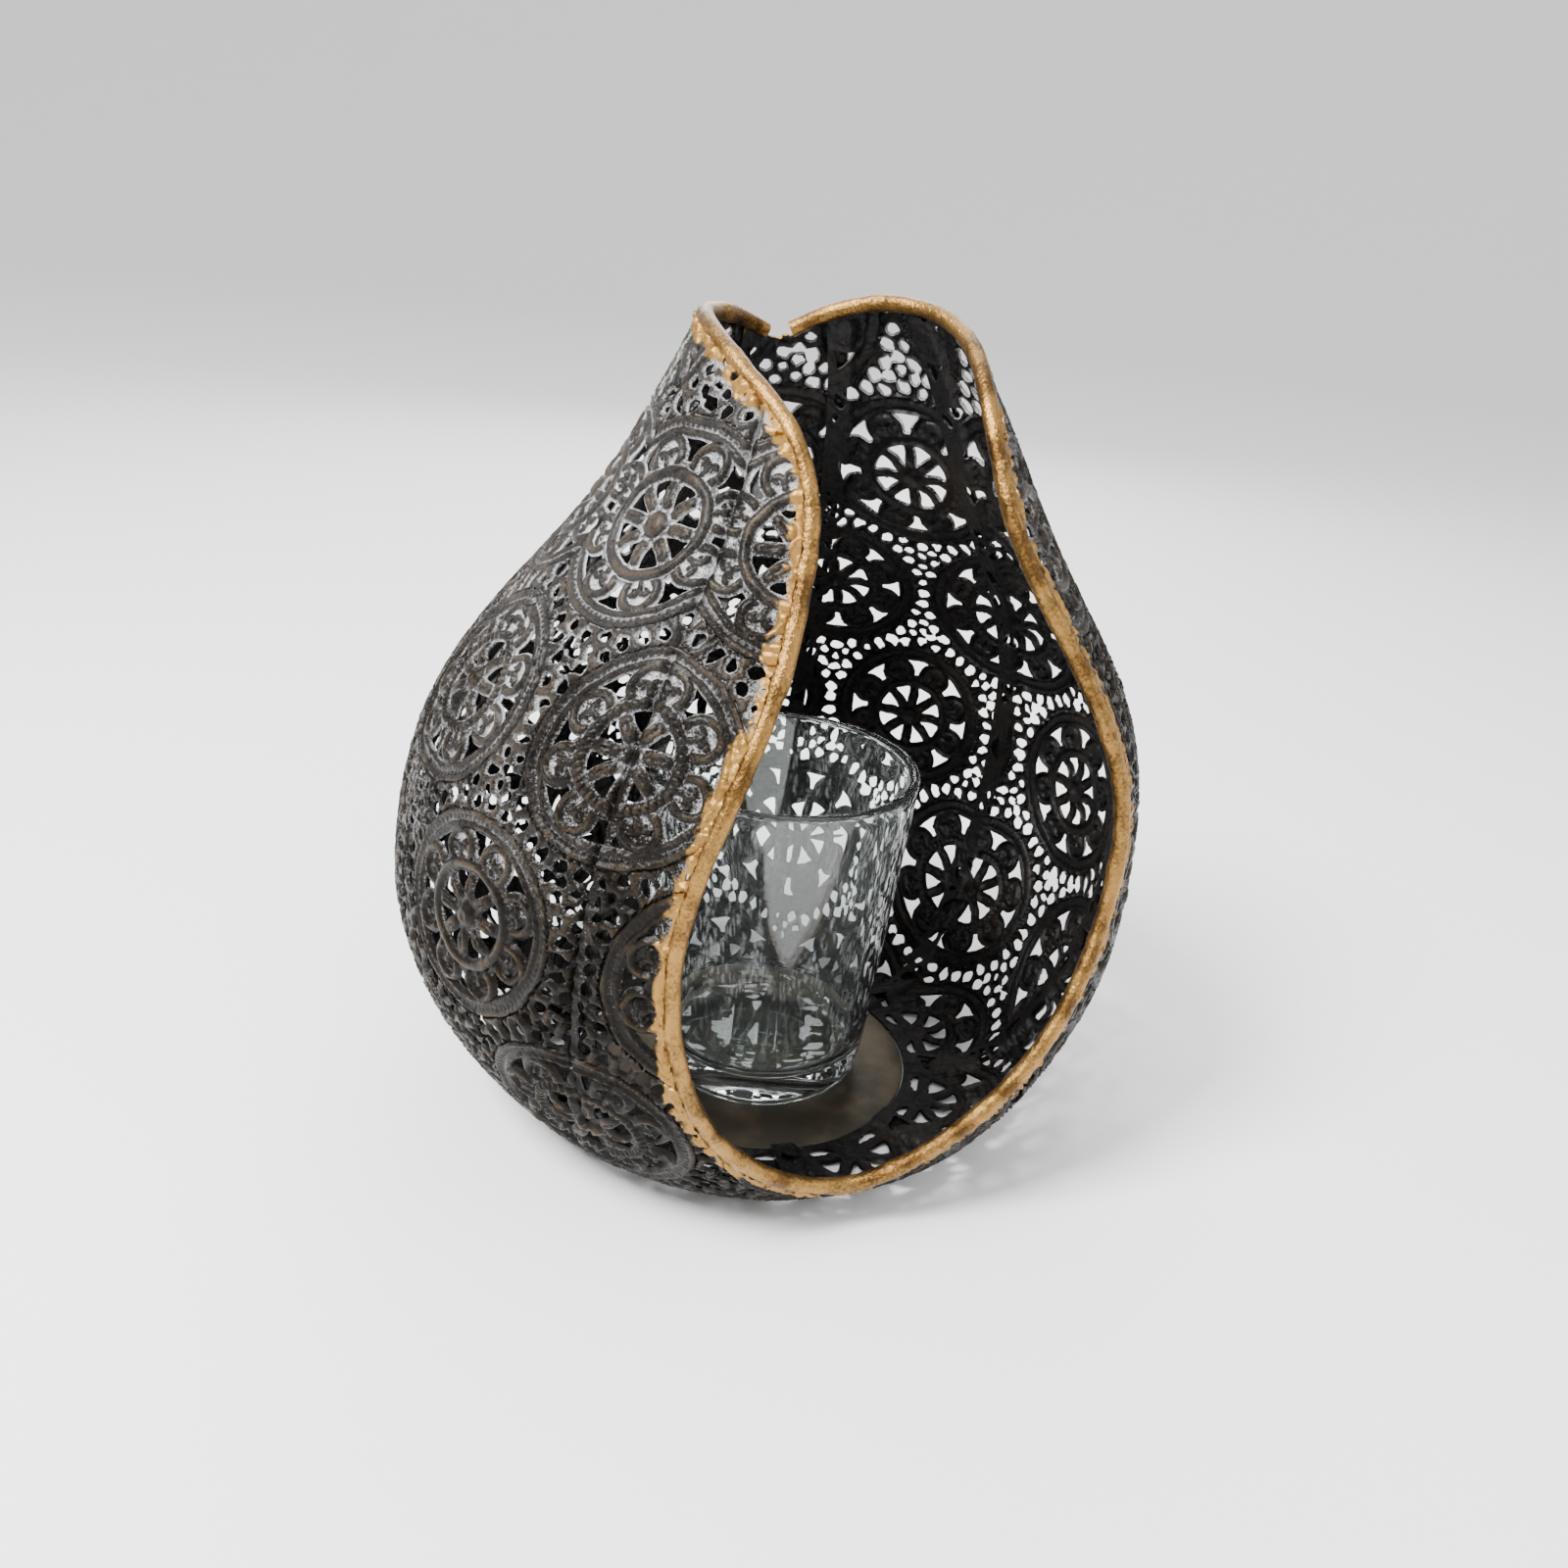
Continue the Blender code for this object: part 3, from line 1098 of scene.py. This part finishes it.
    def wrap(self, sheet: Socket) -> Socket:
        """Emboss the sheet, joggle it at its laps and bend it onto the shell.

        Args:
            sheet: The pierced flat sheet.

        Returns:
            The sheet in its place on the shell, in metres.
        """
        nodes = self.nodes
        x, y, _ = nodes.split(nodes.position())
        hole, relief = self.pattern_at(x, y)
        edge = self.edge_distance(x, y)
        left, right = self.seams(x, y)
        rough = nodes.noise(nodes.join(x, y, self.seed), 0.8, 2.0)
        braze = edge.ramp(1.6, 4.2, 1.0, 0.0) * (rough * 1.6 - 0.2)
        start = -(self.seam_gap + self.joggle)
        step_right = right.ramp(start, -self.seam_gap) * self.lap_right.op("SIGN")
        step_left = left.ramp(start, -self.seam_gap) * self.lap_left.op("SIGN")
        relief = relief * (rough * 0.35 + 0.8)
        relief = relief * (step_left + step_right).ramp(0.0, 1.0, 1.0, self.lap_relief)
        relief = relief * y.ramp(0.0, self.foot_fade, 0.1, 1.0)
        stored = (("relief", relief), ("edge", edge), ("hole", hole), ("seam", -(left.most(right))))
        for name, value in stored:
            sheet = nodes.store(sheet, name, value)
        radius, height, shift, spread, rise = self.sample_meridian(y)
        turn = self.middle * math.radians(1) + x / radius
        bulge_at = nodes.join(turn.sin() * radius, turn.cos() * radius, height)
        bulge = (nodes.noise(bulge_at, 0.035, 1.0) - 0.5) * (2 * self.sway)
        inward = (step_right + step_left) * self.lap_drop - relief * self.emboss - braze - bulge
        radius = radius - inward * rise
        height = height + inward * spread
        place = nodes.join(radius * turn.sin(), -(radius * turn.cos()) - shift, height)
        scaled = nodes.node("ShaderNodeVectorMath", {0: place, "Scale": MM}, operation="SCALE").outputs[0]
        return nodes.node("GeometryNodeSetPosition", {"Geometry": sheet, "Position": scaled}).outputs[0]


@dataclass
class Gore:
    """One sheet panel of the shell, between two seams."""

    name: str
    start: float
    stop: float
    lap_left: float
    lap_right: float
    seed: float

    def build(
        self, tree: GoreTree, nodes: NodeTree, shell: Shell, opening: Opening, outside: bpy.types.Material,
        inside: bpy.types.Material,
    ) -> bpy.types.Object:
        """Build the panel and tie it to its CAD node.

        Args:
            tree: Sizes of the sheet.
            nodes: The tree that shapes it.
            shell: The surface that it lies on.
            opening: The opening that cuts it.
            outside: Finish of its outer face and its cut edges.
            inside: Finish of its inner face.

        Returns:
            The finished piece.
        """
        middle, half = (self.start + self.stop) / 2, (self.stop - self.start) / 2
        meridian, line = shell.meridian_object(), opening.flat_line(middle, half + 30.0)
        width = 2 * (math.radians(half) * float(shell.radius.max()) + self.lap_right + 2.0)
        inputs = {
            "Meridian": meridian,
            "Edge line": line,
            "Middle angle": middle,
            "Half angle": half,
            "Lap left": self.lap_left,
            "Lap right": self.lap_right,
            "Flat width": width,
            "Flat length": opening.reach_of(middle, half),
            "Meridian step": shell.step,
            "Seed": self.seed,
            "Material": outside,
        }
        piece = run_tree(nodes, self.name + "_sheet", inputs, thickness=tree.sheet, inner=inside)
        for helper in (meridian, line):
            bpy.data.objects.remove(helper)
        piece.data.set_sharp_from_angle(angle=math.radians(50))
        tie(piece, Body.LANTERN, self.name)
        return piece


# ---------------------------------------------------------------------------------------------------
# Rim wire, base disc and cup
# ---------------------------------------------------------------------------------------------------


@dataclass
class RimWire:
    """The brazed and gilded round wire round the opening, open for a moment at the back dip."""

    radius: float = 1.75
    gap: float = 6.5
    sides: int = 16
    spacing: float = 0.6
    lump: float = 0.42
    wave: float = 0.42
    grain: float = 0.16

    def tree(self) -> NodeTree:
        """Build the tree that sweeps a circle along a line and roughens it.

        Returns:
            A tree with the line, radius and material as named inputs.
        """
        nodes = NodeTree("swept_wire")
        line = nodes.input("Line", "NodeSocketObject")
        radius = nodes.number("Radius")
        material = nodes.input("Material", "NodeSocketMaterial")
        path = nodes.node("GeometryNodeObjectInfo", {"Object": line}).outputs["Geometry"]
        path = nodes.node("GeometryNodeMeshToCurve", {0: path}).outputs[0]
        circle = {"Resolution": self.sides, "Radius": radius * MM}
        ring = nodes.node("GeometryNodeCurvePrimitiveCircle", circle).outputs[0]
        sweep = {"Curve": path, "Profile Curve": ring, "Fill Caps": True}
        swept = nodes.node("GeometryNodeCurveToMesh", sweep).outputs[0]
        at = nodes.position()
        lumps = nodes.noise(at, 95.0, 1.0).ramp(0.52, 0.8) * self.lump
        waves = (nodes.noise(at, 210.0, 1.0) - 0.5) * self.wave
        grain = (nodes.noise(at, 900.0, 2.0) - 0.5) * self.grain
        normal = nodes.node("GeometryNodeInputNormal").outputs[0]
        push = {0: normal, "Scale": (lumps + waves + grain) * MM}
        push = nodes.node("ShaderNodeVectorMath", push, operation="SCALE").outputs[0]
        moved = nodes.node("GeometryNodeSetPosition", {"Geometry": swept, "Offset": push})
        nodes.finish(moved.outputs[0], material)
        return nodes

    def build(self, opening: Opening, material: bpy.types.Material) -> bpy.types.Object:
        """Build the wire and tie it to its CAD node.

        Args:
            opening: The line that it follows.
            material: Its finish.

        Returns:
            The finished piece.
        """
        line = opening.space_line(self.gap / 2, self.spacing)
        inputs = {"Line": line, "Radius": self.radius, "Material": material}
        piece = run_tree(self.tree(), "rim_wire_gilt", inputs)
        bpy.data.objects.remove(line)
        piece.data.set_sharp_from_angle(angle=math.radians(60))
        tie(piece, Body.LANTERN, "rim_wire")
        return piece


def lathe(
    name: str, profile: list[tuple[float, float]], segments: int, sway: float = 0.0
) -> bpy.types.Mesh:
    """Turn a profile about the vertical axis.

    Args:
        name: Name of the mesh.
        profile: Points as (radius, height), from axis to axis, in millimetres.
        segments: Number of steps round.
        sway: How far the surface wanders in and out, as pressed glass does.

    Returns:
        A closed mesh in metres.
    """
    turned = bmesh.new()
    rings = []
    for radius, height in profile:
        if radius < 1e-6:
            rings.append([turned.verts.new((0.0, 0.0, height * MM))])
            continue
        ring = []
        for k in range(segments):
            turn = 2 * math.pi * k / segments
            waves = (math.sin(n * turn + n * n + height * 0.04) / n**0.7 for n in (2, 5, 9, 16, 26))
            away = (radius + sum(waves) * sway) * MM
            ring.append(turned.verts.new((away * math.cos(turn), away * math.sin(turn), height * MM)))
        rings.append(ring)
    for low, high in zip(rings, rings[1:]):
        for k in range(segments):
            corners = [low[k % len(low)], low[(k + 1) % len(low)]]
            corners += [high[(k + 1) % len(high)], high[k % len(high)]]
            turned.faces.new(list(dict.fromkeys(corners)))
    bmesh.ops.recalc_face_normals(turned, faces=turned.faces)
    mesh = bpy.data.meshes.new(name)
    turned.to_mesh(mesh)
    turned.free()
    return mesh


def arc(centre: tuple[float, float], radius: float, start: float, stop: float, count: int) -> list:
    """Return points on an arc of a profile.

    Args:
        centre: Centre, as radius and height.
        radius: Radius of the arc.
        start: Angle of the first point from the outward direction, in degrees.
        stop: Angle of the last point.
        count: Number of points.

    Returns:
        The points.
    """
    turns = np.radians(np.linspace(start, stop, count))
    return [(centre[0] + radius * math.cos(t), centre[1] + radius * math.sin(t)) for t in turns]


@dataclass
class BaseDisc:
    """The thin disc that the gores meet and the cup stands on."""

    radius: float
    thickness: float
    segments: int = 128

    def build(self, material: bpy.types.Material) -> bpy.types.Object:
        """Build the disc and tie it to its CAD node.

        Args:
            material: Its finish.

        Returns:
            The finished piece.
        """
        soft = self.thickness * 0.35
        profile = [(0.0, 0.0), (self.radius * 0.6, 0.0)]
        profile += arc((self.radius - soft, soft), soft, -90, 0, 5)
        profile += arc((self.radius - soft, self.thickness - soft), soft, 0, 90, 5)
        profile += [(self.radius * share, self.thickness) for share in (0.9, 0.5, 0.0)]
        piece = add_piece("base_plate", lathe("base_plate", profile, self.segments))
        piece.data.materials.append(material)
        piece.data.shade_smooth()
        piece.data.set_sharp_from_angle(angle=math.radians(35))
        tie(piece, Body.LANTERN, "base_disc")
        return piece


@dataclass
class VotiveGlass:
    """The loose pressed-glass cup, with a heavy floor and a fire-polished lip."""

    seat: float
    height: float
    top: float
    foot: float = 26.3
    wall: float = 2.5
    floor: float = 8.5
    heel: float = 5.5
    sway: float = 0.13
    rows: int = 24
    segments: int = 160

    def profile(self) -> list[tuple[float, float]]:
        """Draw the section.

        Returns:
            Points from the middle of the floor over the lip to the middle of the foot.
        """
        lean = (self.top - self.foot) / self.height
        lip, corner = self.wall / 2, 2.2 * self.wall
        inner = self.foot + lean * self.floor - self.wall
        shoulder = self.height - lip
        points = [(0.0, self.floor - 0.9), (inner * 0.45, self.floor - 0.6)]
        points += arc((inner - corner, self.floor + corner), corner, -80, 0, 10)
        shares = [k / self.rows for k in range(1, self.rows)]
        low, high = (inner, self.floor + corner), (self.top - self.wall, shoulder)
        points += [(low[0] + (high[0] - low[0]) * k, low[1] + (high[1] - low[1]) * k) for k in shares]
        points += arc((self.top - lip, shoulder), lip, 180, 0, 12)
        drop = self.height - self.heel
        points += [(self.top - lean * drop * k, shoulder - (shoulder - self.heel) * k) for k in shares]
        points += arc((self.foot - self.heel, self.heel), self.heel, 0, -85, 10)
        points += [(self.foot * 0.6, 0.35), (self.foot * 0.35, 1.1), (0.0, 1.5)]
        return [(radius, height + self.seat) for radius, height in points]

    def build(self, material: bpy.types.Material) -> bpy.types.Object:
        """Build the cup and tie it to its CAD node.

        Args:
            material: Its finish.

        Returns:
            The finished piece.
        """
        piece = add_piece("votive_cup", lathe("votive_cup", self.profile(), self.segments, self.sway))
        piece.data.materials.append(material)
        piece.data.shade_smooth()
        tie(piece, Body.CUP, "votive_glass")
        return piece


# ---------------------------------------------------------------------------------------------------
# Finishes
# ---------------------------------------------------------------------------------------------------


class Surface:
    """A material built in code, whose Principled BSDF takes formulas."""

    def __init__(self, name: str) -> None:
        """Start a material with one Principled BSDF.

        Args:
            name: The material's name.
        """
        self.material = bpy.data.materials.new(name)
        self.material.use_nodes = True
        self.tree = self.material.node_tree
        self.shader = next(node for node in self.tree.nodes if node.type == "BSDF_PRINCIPLED")

    def read(self, name: str) -> Num:
        """Read a number that the mesh carries.

        Args:
            name: The attribute's name.

        Returns:
            The number.
        """
        node = self.tree.nodes.new("ShaderNodeAttribute")
        node.attribute_name = name
        return Num(self.tree, node.outputs["Fac"])

    def place(self) -> Socket:
        """Return the object coordinates, in metres."""
        return self.tree.nodes.new("ShaderNodeTexCoord").outputs["Object"]

    def split(self, vector: Socket) -> list[Num]:
        """Take a vector apart.

        Args:
            vector: The vector.

        Returns:
            Its three numbers.
        """
        node = self.tree.nodes.new("ShaderNodeSeparateXYZ")
        self.tree.links.new(vector, node.inputs[0])
        return [Num(self.tree, output) for output in node.outputs]

    def noise(self, at: Socket, scale: float, detail: float = 3.0, roughness: float = 0.5) -> Num:
        """Return smooth noise.

        Args:
            at: Place that it is read at.
            scale: Its frequency, per metre.
            detail: Number of finer layers.
            roughness: Strength of the finer layers.

        Returns:
            A number from 0 to 1.
        """
        node = self.tree.nodes.new("ShaderNodeTexNoise")
        self.tree.links.new(at, node.inputs["Vector"])
        for name, value in (("Scale", scale), ("Detail", detail), ("Roughness", roughness)):
            node.inputs[name].default_value = value
        return Num(self.tree, node.outputs[0])

    def mix(self, share: Num, low: "Colour | Socket", high: "Colour | Socket") -> Socket:
        """Blend one colour into another.

        Args:
            share: How much of the second there is, from 0 to 1.
            low: The first colour.
            high: The second colour.

        Returns:
            The blended colour.
        """
        node = self.tree.nodes.new("ShaderNodeMix")
        node.data_type = "RGBA"
        self.tree.links.new(share.socket, node.inputs[0])
        for slot, value in ((node.inputs[6], low), (node.inputs[7], high)):
            if isinstance(value, bpy.types.NodeSocket):
                self.tree.links.new(value, slot)
            else:
                slot.default_value = (*value, 1.0)
        return node.outputs[2]

    def set(self, **values: "float | Colour | Num | Socket") -> None:
        """Set or link inputs of the shader.

        Args:
            **values: Input name, with underscores for spaces, to its value.
        """
        for key, value in values.items():
            slot = self.shader.inputs[key.replace("_", " ")]
            if isinstance(value, Num):
                value = value.socket
            if isinstance(value, bpy.types.NodeSocket):
                self.tree.links.new(value, slot)
            elif isinstance(value, tuple):
                slot.default_value = (*value, 1.0)
            else:
                slot.default_value = value

    def bump(self, height: Num, distance: float) -> None:
        """Roughen the surface.

        Args:
            height: Height from 0 to 1.
            distance: How far a height of 1 stands out, in metres.
        """
        node = self.tree.nodes.new("ShaderNodeBump")
        node.inputs["Distance"].default_value = distance
        self.tree.links.new(height.socket, node.inputs["Height"])
        self.tree.links.new(node.outputs[0], self.shader.inputs["Normal"])


@dataclass(frozen=True)
class AntiqueMetal:
    """Dark embossed metal, whitewashed in its hollows and gilded beside the rim wire, with painted light in
    a heavier wash towards the upper left and a painted shadow along each seam.
    """

    raised: Colour = (0.0045, 0.0034, 0.0024)
    bronze: Colour = (0.044, 0.027, 0.0105)
    slate: Colour = (0.0078, 0.0068, 0.0062)
    wash: Colour = (0.45, 0.438, 0.438)
    gold: Colour = (0.30, 0.165, 0.045)
    gold_reach: float = 2.7
    shine: float = 0.09
    inside_dark: Colour = (0.0035, 0.003, 0.003)
    inside_rust: Colour = (0.012, 0.008, 0.005)
    inside_shine: float = 0.3

    def build(self) -> bpy.types.Material:
        """Build the outside finish.

        Returns:
            The material.
        """
        sheet = Surface("antique_metal_outside")
        at = sheet.place()
        x, y, z = sheet.split(at)
        relief, edge = sheet.read("relief"), sheet.read("edge")
        cloud, patch = sheet.noise(at, 30.0, 3.0), sheet.noise(at, 140.0, 3.0, 0.6)
        grain, fine = sheet.noise(at, 900.0, 3.0, 0.6), sheet.noise(at, 2600.0, 2.0)
        # Painted light: a bias that makes the wash heavier towards the top and the upper left, where the
        # light falls, and sparser low down
        painted_light_upper_left = (z * 6.0 - x * 2.6 + y * 1.3 - 0.42).ramp(-0.35, 0.7)
        hollow = (relief + (grain - 0.5) * 0.3).ramp(0.34, 0.06)
        speck = (fine - 0.5) * 1.5 + (grain - 0.5) * 0.9
        # Whitewash cover: real patches and specks of wash, plus the painted light of the upper-left bias
        wash_and_painted_light = (cloud + patch + (painted_light_upper_left - 0.5) * 1.15 + speck).ramp(0.98, 1.8)
        # Wash on the hole lips, also heavier on the lit upper left, which is painted light
        lip = (sheet.read("hole") + (fine - 0.5) * 0.5).ramp(-0.5, -0.05)
        lip = lip * (patch + painted_light_upper_left * 0.5).ramp(0.3, 0.8)
        washed = (hollow * 0.95 + 0.05).most(lip * 0.6) * wash_and_painted_light
        worn = (relief + (fine - 0.5) * 0.4).ramp(0.45, 0.8) * patch.ramp(0.4, 0.65) * 0.8
        metal = sheet.mix(hollow * (grain * 0.6 + 0.4), self.raised, self.slate)
        metal = sheet.mix(worn, metal, self.bronze)
        metal = sheet.mix(washed, metal, self.wash)
        brushed = edge + (patch - 0.5) * 7.0 + (grain - 0.5) * 2.5 - relief * 1.5 - self.gold_reach
        brushed = brushed.ramp(0.5, -0.5)
        gilded = brushed * (fine + grain).ramp(0.62, 0.82)
        # Painted shadow: a dark line along each seam, where the lapped sheets leave a shaded gap
        seam_shadow = (sheet.read("seam") + (grain - 0.5) * 0.5).ramp(1.1, 0.3)
        metal = sheet.mix(seam_shadow * 0.85, metal, self.raised)
        colour = sheet.mix(gilded, metal, self.gold)
        sheet.set(
            Base_Color=colour,
            Metallic=gilded * 0.85,
            Roughness=(washed * 0.4 + grain * 0.2 + gilded * 0.14 + 0.22).least(0.8),
            Specular_IOR_Level=self.shine,
        )
        sheet.bump(grain * 0.7 + fine * 0.3, 0.00018)
        return sheet.material

    def build_inside(self) -> bpy.types.Material:
        """Build the plain dark finish of the inner face.

        Returns:
            The material.
        """
        sheet = Surface("antique_metal_inside")
        at = sheet.place()
        rust = sheet.noise(at, 60.0, 4.0, 0.6).ramp(0.45, 0.75)
        sheet.set(
            Base_Color=sheet.mix(rust, self.inside_dark, self.inside_rust),
            Specular_IOR_Level=self.inside_shine,
            Roughness=sheet.noise(at, 300.0) * 0.3 + 0.36,
        )
        sheet.bump(sheet.noise(at, 420.0, 4.0, 0.6), 0.0006)
        return sheet.material


@dataclass(frozen=True)
class GiltWire:
    """Warm matte gold paint with small dark pits."""

    gold: Colour = (0.31, 0.17, 0.048)
    deep: Colour = (0.085, 0.042, 0.011)
    pit: Colour = (0.05, 0.025, 0.012)

    def build(self) -> bpy.types.Material:
        """Build the finish.

        Returns:
            The material.
        """
        wire = Surface("gilt_paint")
        at = wire.place()
        cloud, grain = wire.noise(at, 110.0, 3.0), wire.noise(at, 1500.0, 3.0, 0.6)
        colour = wire.mix((cloud + grain * 0.5).ramp(0.62, 0.92), self.gold, self.deep)
        colour = wire.mix((grain + cloud * 0.3).ramp(0.80, 0.90), colour, self.pit)
        wire.set(Base_Color=colour, Metallic=0.95, Roughness=grain * 0.3 + 0.2)
        wire.bump(grain * 0.6 + cloud, 0.0005)
        return wire.material


@dataclass(frozen=True)
class BaseMetal:
    """Satin dark brown lacquer, a little mottled."""

    dark: Colour = (0.048, 0.039, 0.027)
    warm: Colour = (0.120, 0.092, 0.055)

    def build(self) -> bpy.types.Material:
        """Build the finish.

        Returns:
            The material.
        """
        disc = Surface("base_lacquer")
        at = disc.place()
        colour = disc.mix(disc.noise(at, 45.0, 4.0, 0.6).ramp(0.4, 0.7), self.dark, self.warm)
        disc.set(Base_Color=colour, Metallic=0.55, Roughness=disc.noise(at, 160.0) * 0.2 + 0.22)
        disc.bump(disc.noise(at, 120.0), 0.0002)
        return disc.material


@dataclass(frozen=True)
class ClearGlass:
    """Clear soda glass with a faint green tint."""

    tint: Colour = (0.93, 0.975, 0.97)
    clear: float = 0.985
    ior: float = 1.5

    def build(self) -> bpy.types.Material:
        """Build the finish.

        Returns:
            The material.
        """
        glass = Surface("clear_soda_glass")
        glass.set(Base_Color=self.tint, Roughness=0.0, Transmission_Weight=self.clear, IOR=self.ior)
        return glass.material


# ---------------------------------------------------------------------------------------------------
# Studio
# ---------------------------------------------------------------------------------------------------


@dataclass(frozen=True)
class SoftLight:
    """A soft square light that faces the object."""

    name: str
    place: tuple[float, float, float]
    power: float
    size: float

    def build(self) -> None:
        """Add the light."""
        data = bpy.data.lights.new(self.name, "AREA")
        data.energy, data.size = self.power, self.size
        light = bpy.data.objects.new(self.name, data)
        bpy.context.scene.collection.objects.link(light)
        light.location = self.place
        light.rotation_euler = (Vector((0, 0, 0.09)) - light.location).to_track_quat("-Z", "Y").to_euler()


@dataclass
class Studio:
    """A pale floor, soft lights and the camera."""

    camera_at: tuple[float, float, float] = (-0.13304, -0.25021, 0.19966)
    heading: float = 28.0
    yaw: float = 0.002853
    pitch: float = 0.409055
    roll: float = 0.095993
    lens: float = 29.99
    world: float = 0.55
    lights: tuple[SoftLight, ...] = (
        SoftLight("key", (-0.55, -0.1, 0.8), 25.0, 0.3),
        SoftLight("fill", (0.7, -0.6, 0.5), 4.0, 0.4),
        SoftLight("back", (0.35, 0.75, 0.6), 6.0, 0.6),
        SoftLight("ceiling", (0.0, 0.0, 3.5), 115.0, 5.0),
    )

    def build(self) -> None:
        """Build the floor, the lights, the world and the camera."""
        self.add_floor()
        for light in self.lights:
            light.build()
        world = bpy.data.worlds.new("studio")
        world.use_nodes = True
        back = world.node_tree.nodes["Background"]
        back.inputs["Color"].default_value = (1.0, 1.0, 1.0, 1.0)
        back.inputs["Strength"].default_value = self.world
        bpy.context.scene.world = world
        self.add_camera()

    def add_floor(self) -> None:
        """Add the floor, a wide disc whose edge rises gently into a tall backdrop. Sizes are in metres."""
        flat, bend, wall = 2.5, 2.0, (4.6, 4.5)
        turns = np.radians(np.linspace(0, 88, 24))
        rise = [(flat + bend * math.sin(t), bend * (1 - math.cos(t))) for t in turns]
        profile = [(0.0, 0.0), (1.0, 0.0), *rise, wall]
        mesh = lathe("floor", [(radius / MM, height / MM) for radius, height in profile], 96)
        mesh.flip_normals()
        mesh.shade_smooth()
        floor = add_piece("floor", mesh)
        paint = Surface("studio_floor")
        paint.set(Base_Color=(0.92, 0.92, 0.92), Roughness=0.7)
        mesh.materials.append(paint.material)

    def add_camera(self) -> None:
        """Add the camera."""
        ahead = Vector((
            math.sin(self.yaw) * math.cos(self.pitch), math.cos(self.yaw) * math.cos(self.pitch),
            -math.sin(self.pitch),
        ))
        right = Vector((math.cos(self.yaw), -math.sin(self.yaw), 0.0))
        up = right.cross(ahead)
        side = right * math.cos(self.roll) + up * math.sin(self.roll)
        top = up * math.cos(self.roll) - right * math.sin(self.roll)
        turn = Matrix.Rotation(math.radians(-self.heading), 3, "Z")
        axes = Matrix((turn @ side, turn @ top, turn @ -ahead)).transposed()
        data = bpy.data.cameras.new("camera")
        data.lens, data.sensor_width = self.lens, 36.0
        camera = bpy.data.objects.new("camera", data)
        camera.matrix_world = Matrix.Translation(self.camera_at) @ axes.to_4x4()
        bpy.context.scene.collection.objects.link(camera)
        bpy.context.scene.camera = camera


# ---------------------------------------------------------------------------------------------------
# The whole lantern
# ---------------------------------------------------------------------------------------------------


BODY_HEIGHT = 185.0
BELLY_RADIUS = 85.0
FOOT = (0.8, 38.6, 0.0)

# Outline of the meridian above its foot: shares of the height and of the belly radius, and how far the
# section is shifted forward, in mm
OUTLINE = [
    (0.025, 0.681, 0.1),
    (0.070, 0.798, -2.4),
    (0.146, 0.915, -5.6),
    (0.254, 0.999, -7.0),
    (0.378, 0.998, -5.2),
    (0.514, 0.932, -0.9),
    (0.649, 0.762, 3.9),
    (0.784, 0.546, 7.2),
    (0.892, 0.412, 7.5),
    (1.000, 0.282, 4.6),
]

# Centre line of the rim wire: angle from the front and share of the height, from the back dip over the
# +X hump, down to the front and up over the -X hump
EDGE = [
    (178.0, 0.946),
    (160.0, 0.973),
    (128.0, 0.995),
    (95.0, 0.992),
    (66.0, 0.970),
    (45.0, 0.935),
    (34.0, 0.886),
    (29.0, 0.822),
    (30.5, 0.735),
    (34.5, 0.627),
    (35.5, 0.497),
    (33.0, 0.405),
    (26.5, 0.303),
    (17.0, 0.184),
    (5.0, 0.103),
    (-8.0, 0.065),
    (-19.0, 0.086),
    (-29.0, 0.151),
    (-35.0, 0.265),
    (-37.5, 0.395),
    (-36.0, 0.519),
    (-32.5, 0.643),
    (-31.0, 0.762),
    (-33.0, 0.838),
    (-42.0, 0.892),
    (-62.0, 0.935),
    (-90.0, 0.966),
    (-125.0, 0.976),
    (-155.0, 0.970),
    (-182.0, 0.946),
]

# Angle of each seam from the front, and the lap of one gore under the next
SEAMS = [-50.0, -13.0, 24.0, 61.0, 103.0, 147.0, 188.0, 230.0, 271.0, 310.0]
LAP = 4.5


def build_lantern() -> None:
    """Build every piece of the object."""
    metal = AntiqueMetal()
    outside, inside = metal.build(), metal.build_inside()
    stations = [(up * BODY_HEIGHT, out * BELLY_RADIUS, shift) for up, out, shift in OUTLINE]
    shell = Shell([FOOT, *stations])
    opening = Opening(shell, [(angle, up * BODY_HEIGHT) for angle, up in EDGE])
    tree = GoreTree(SheetPattern(Rosette(), Emboss()))
    nodes = tree.build()
    for k, (start, stop) in enumerate(zip(SEAMS, SEAMS[1:])):
        gore = Gore(
            name=f"gore_{k + 1}",
            start=start,
            stop=stop,
            lap_left=LAP if k == 1 else 0.0,
            lap_right=LAP if k else 0.0,
            seed=float(k + 1),
        )
        gore.build(tree, nodes, shell, opening, outside, inside)
    RimWire().build(opening, GiltWire().build())
    _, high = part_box("base_disc")
    BaseDisc(radius=high[0] / MM, thickness=high[2] / MM).build(BaseMetal().build())
    low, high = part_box("votive_glass")
    cup = VotiveGlass(seat=low[2] / MM, height=(high[2] - low[2]) / MM, top=high[0] / MM)
    cup.build(ClearGlass().build())


def main() -> None:
    """Build the lantern and its studio."""
    logging.basicConfig(level=logging.INFO, format="%(name)s: %(message)s")
    build_lantern()
    log.info("pieces built")
    Studio().build()


if __name__ == "__main__":
    main()
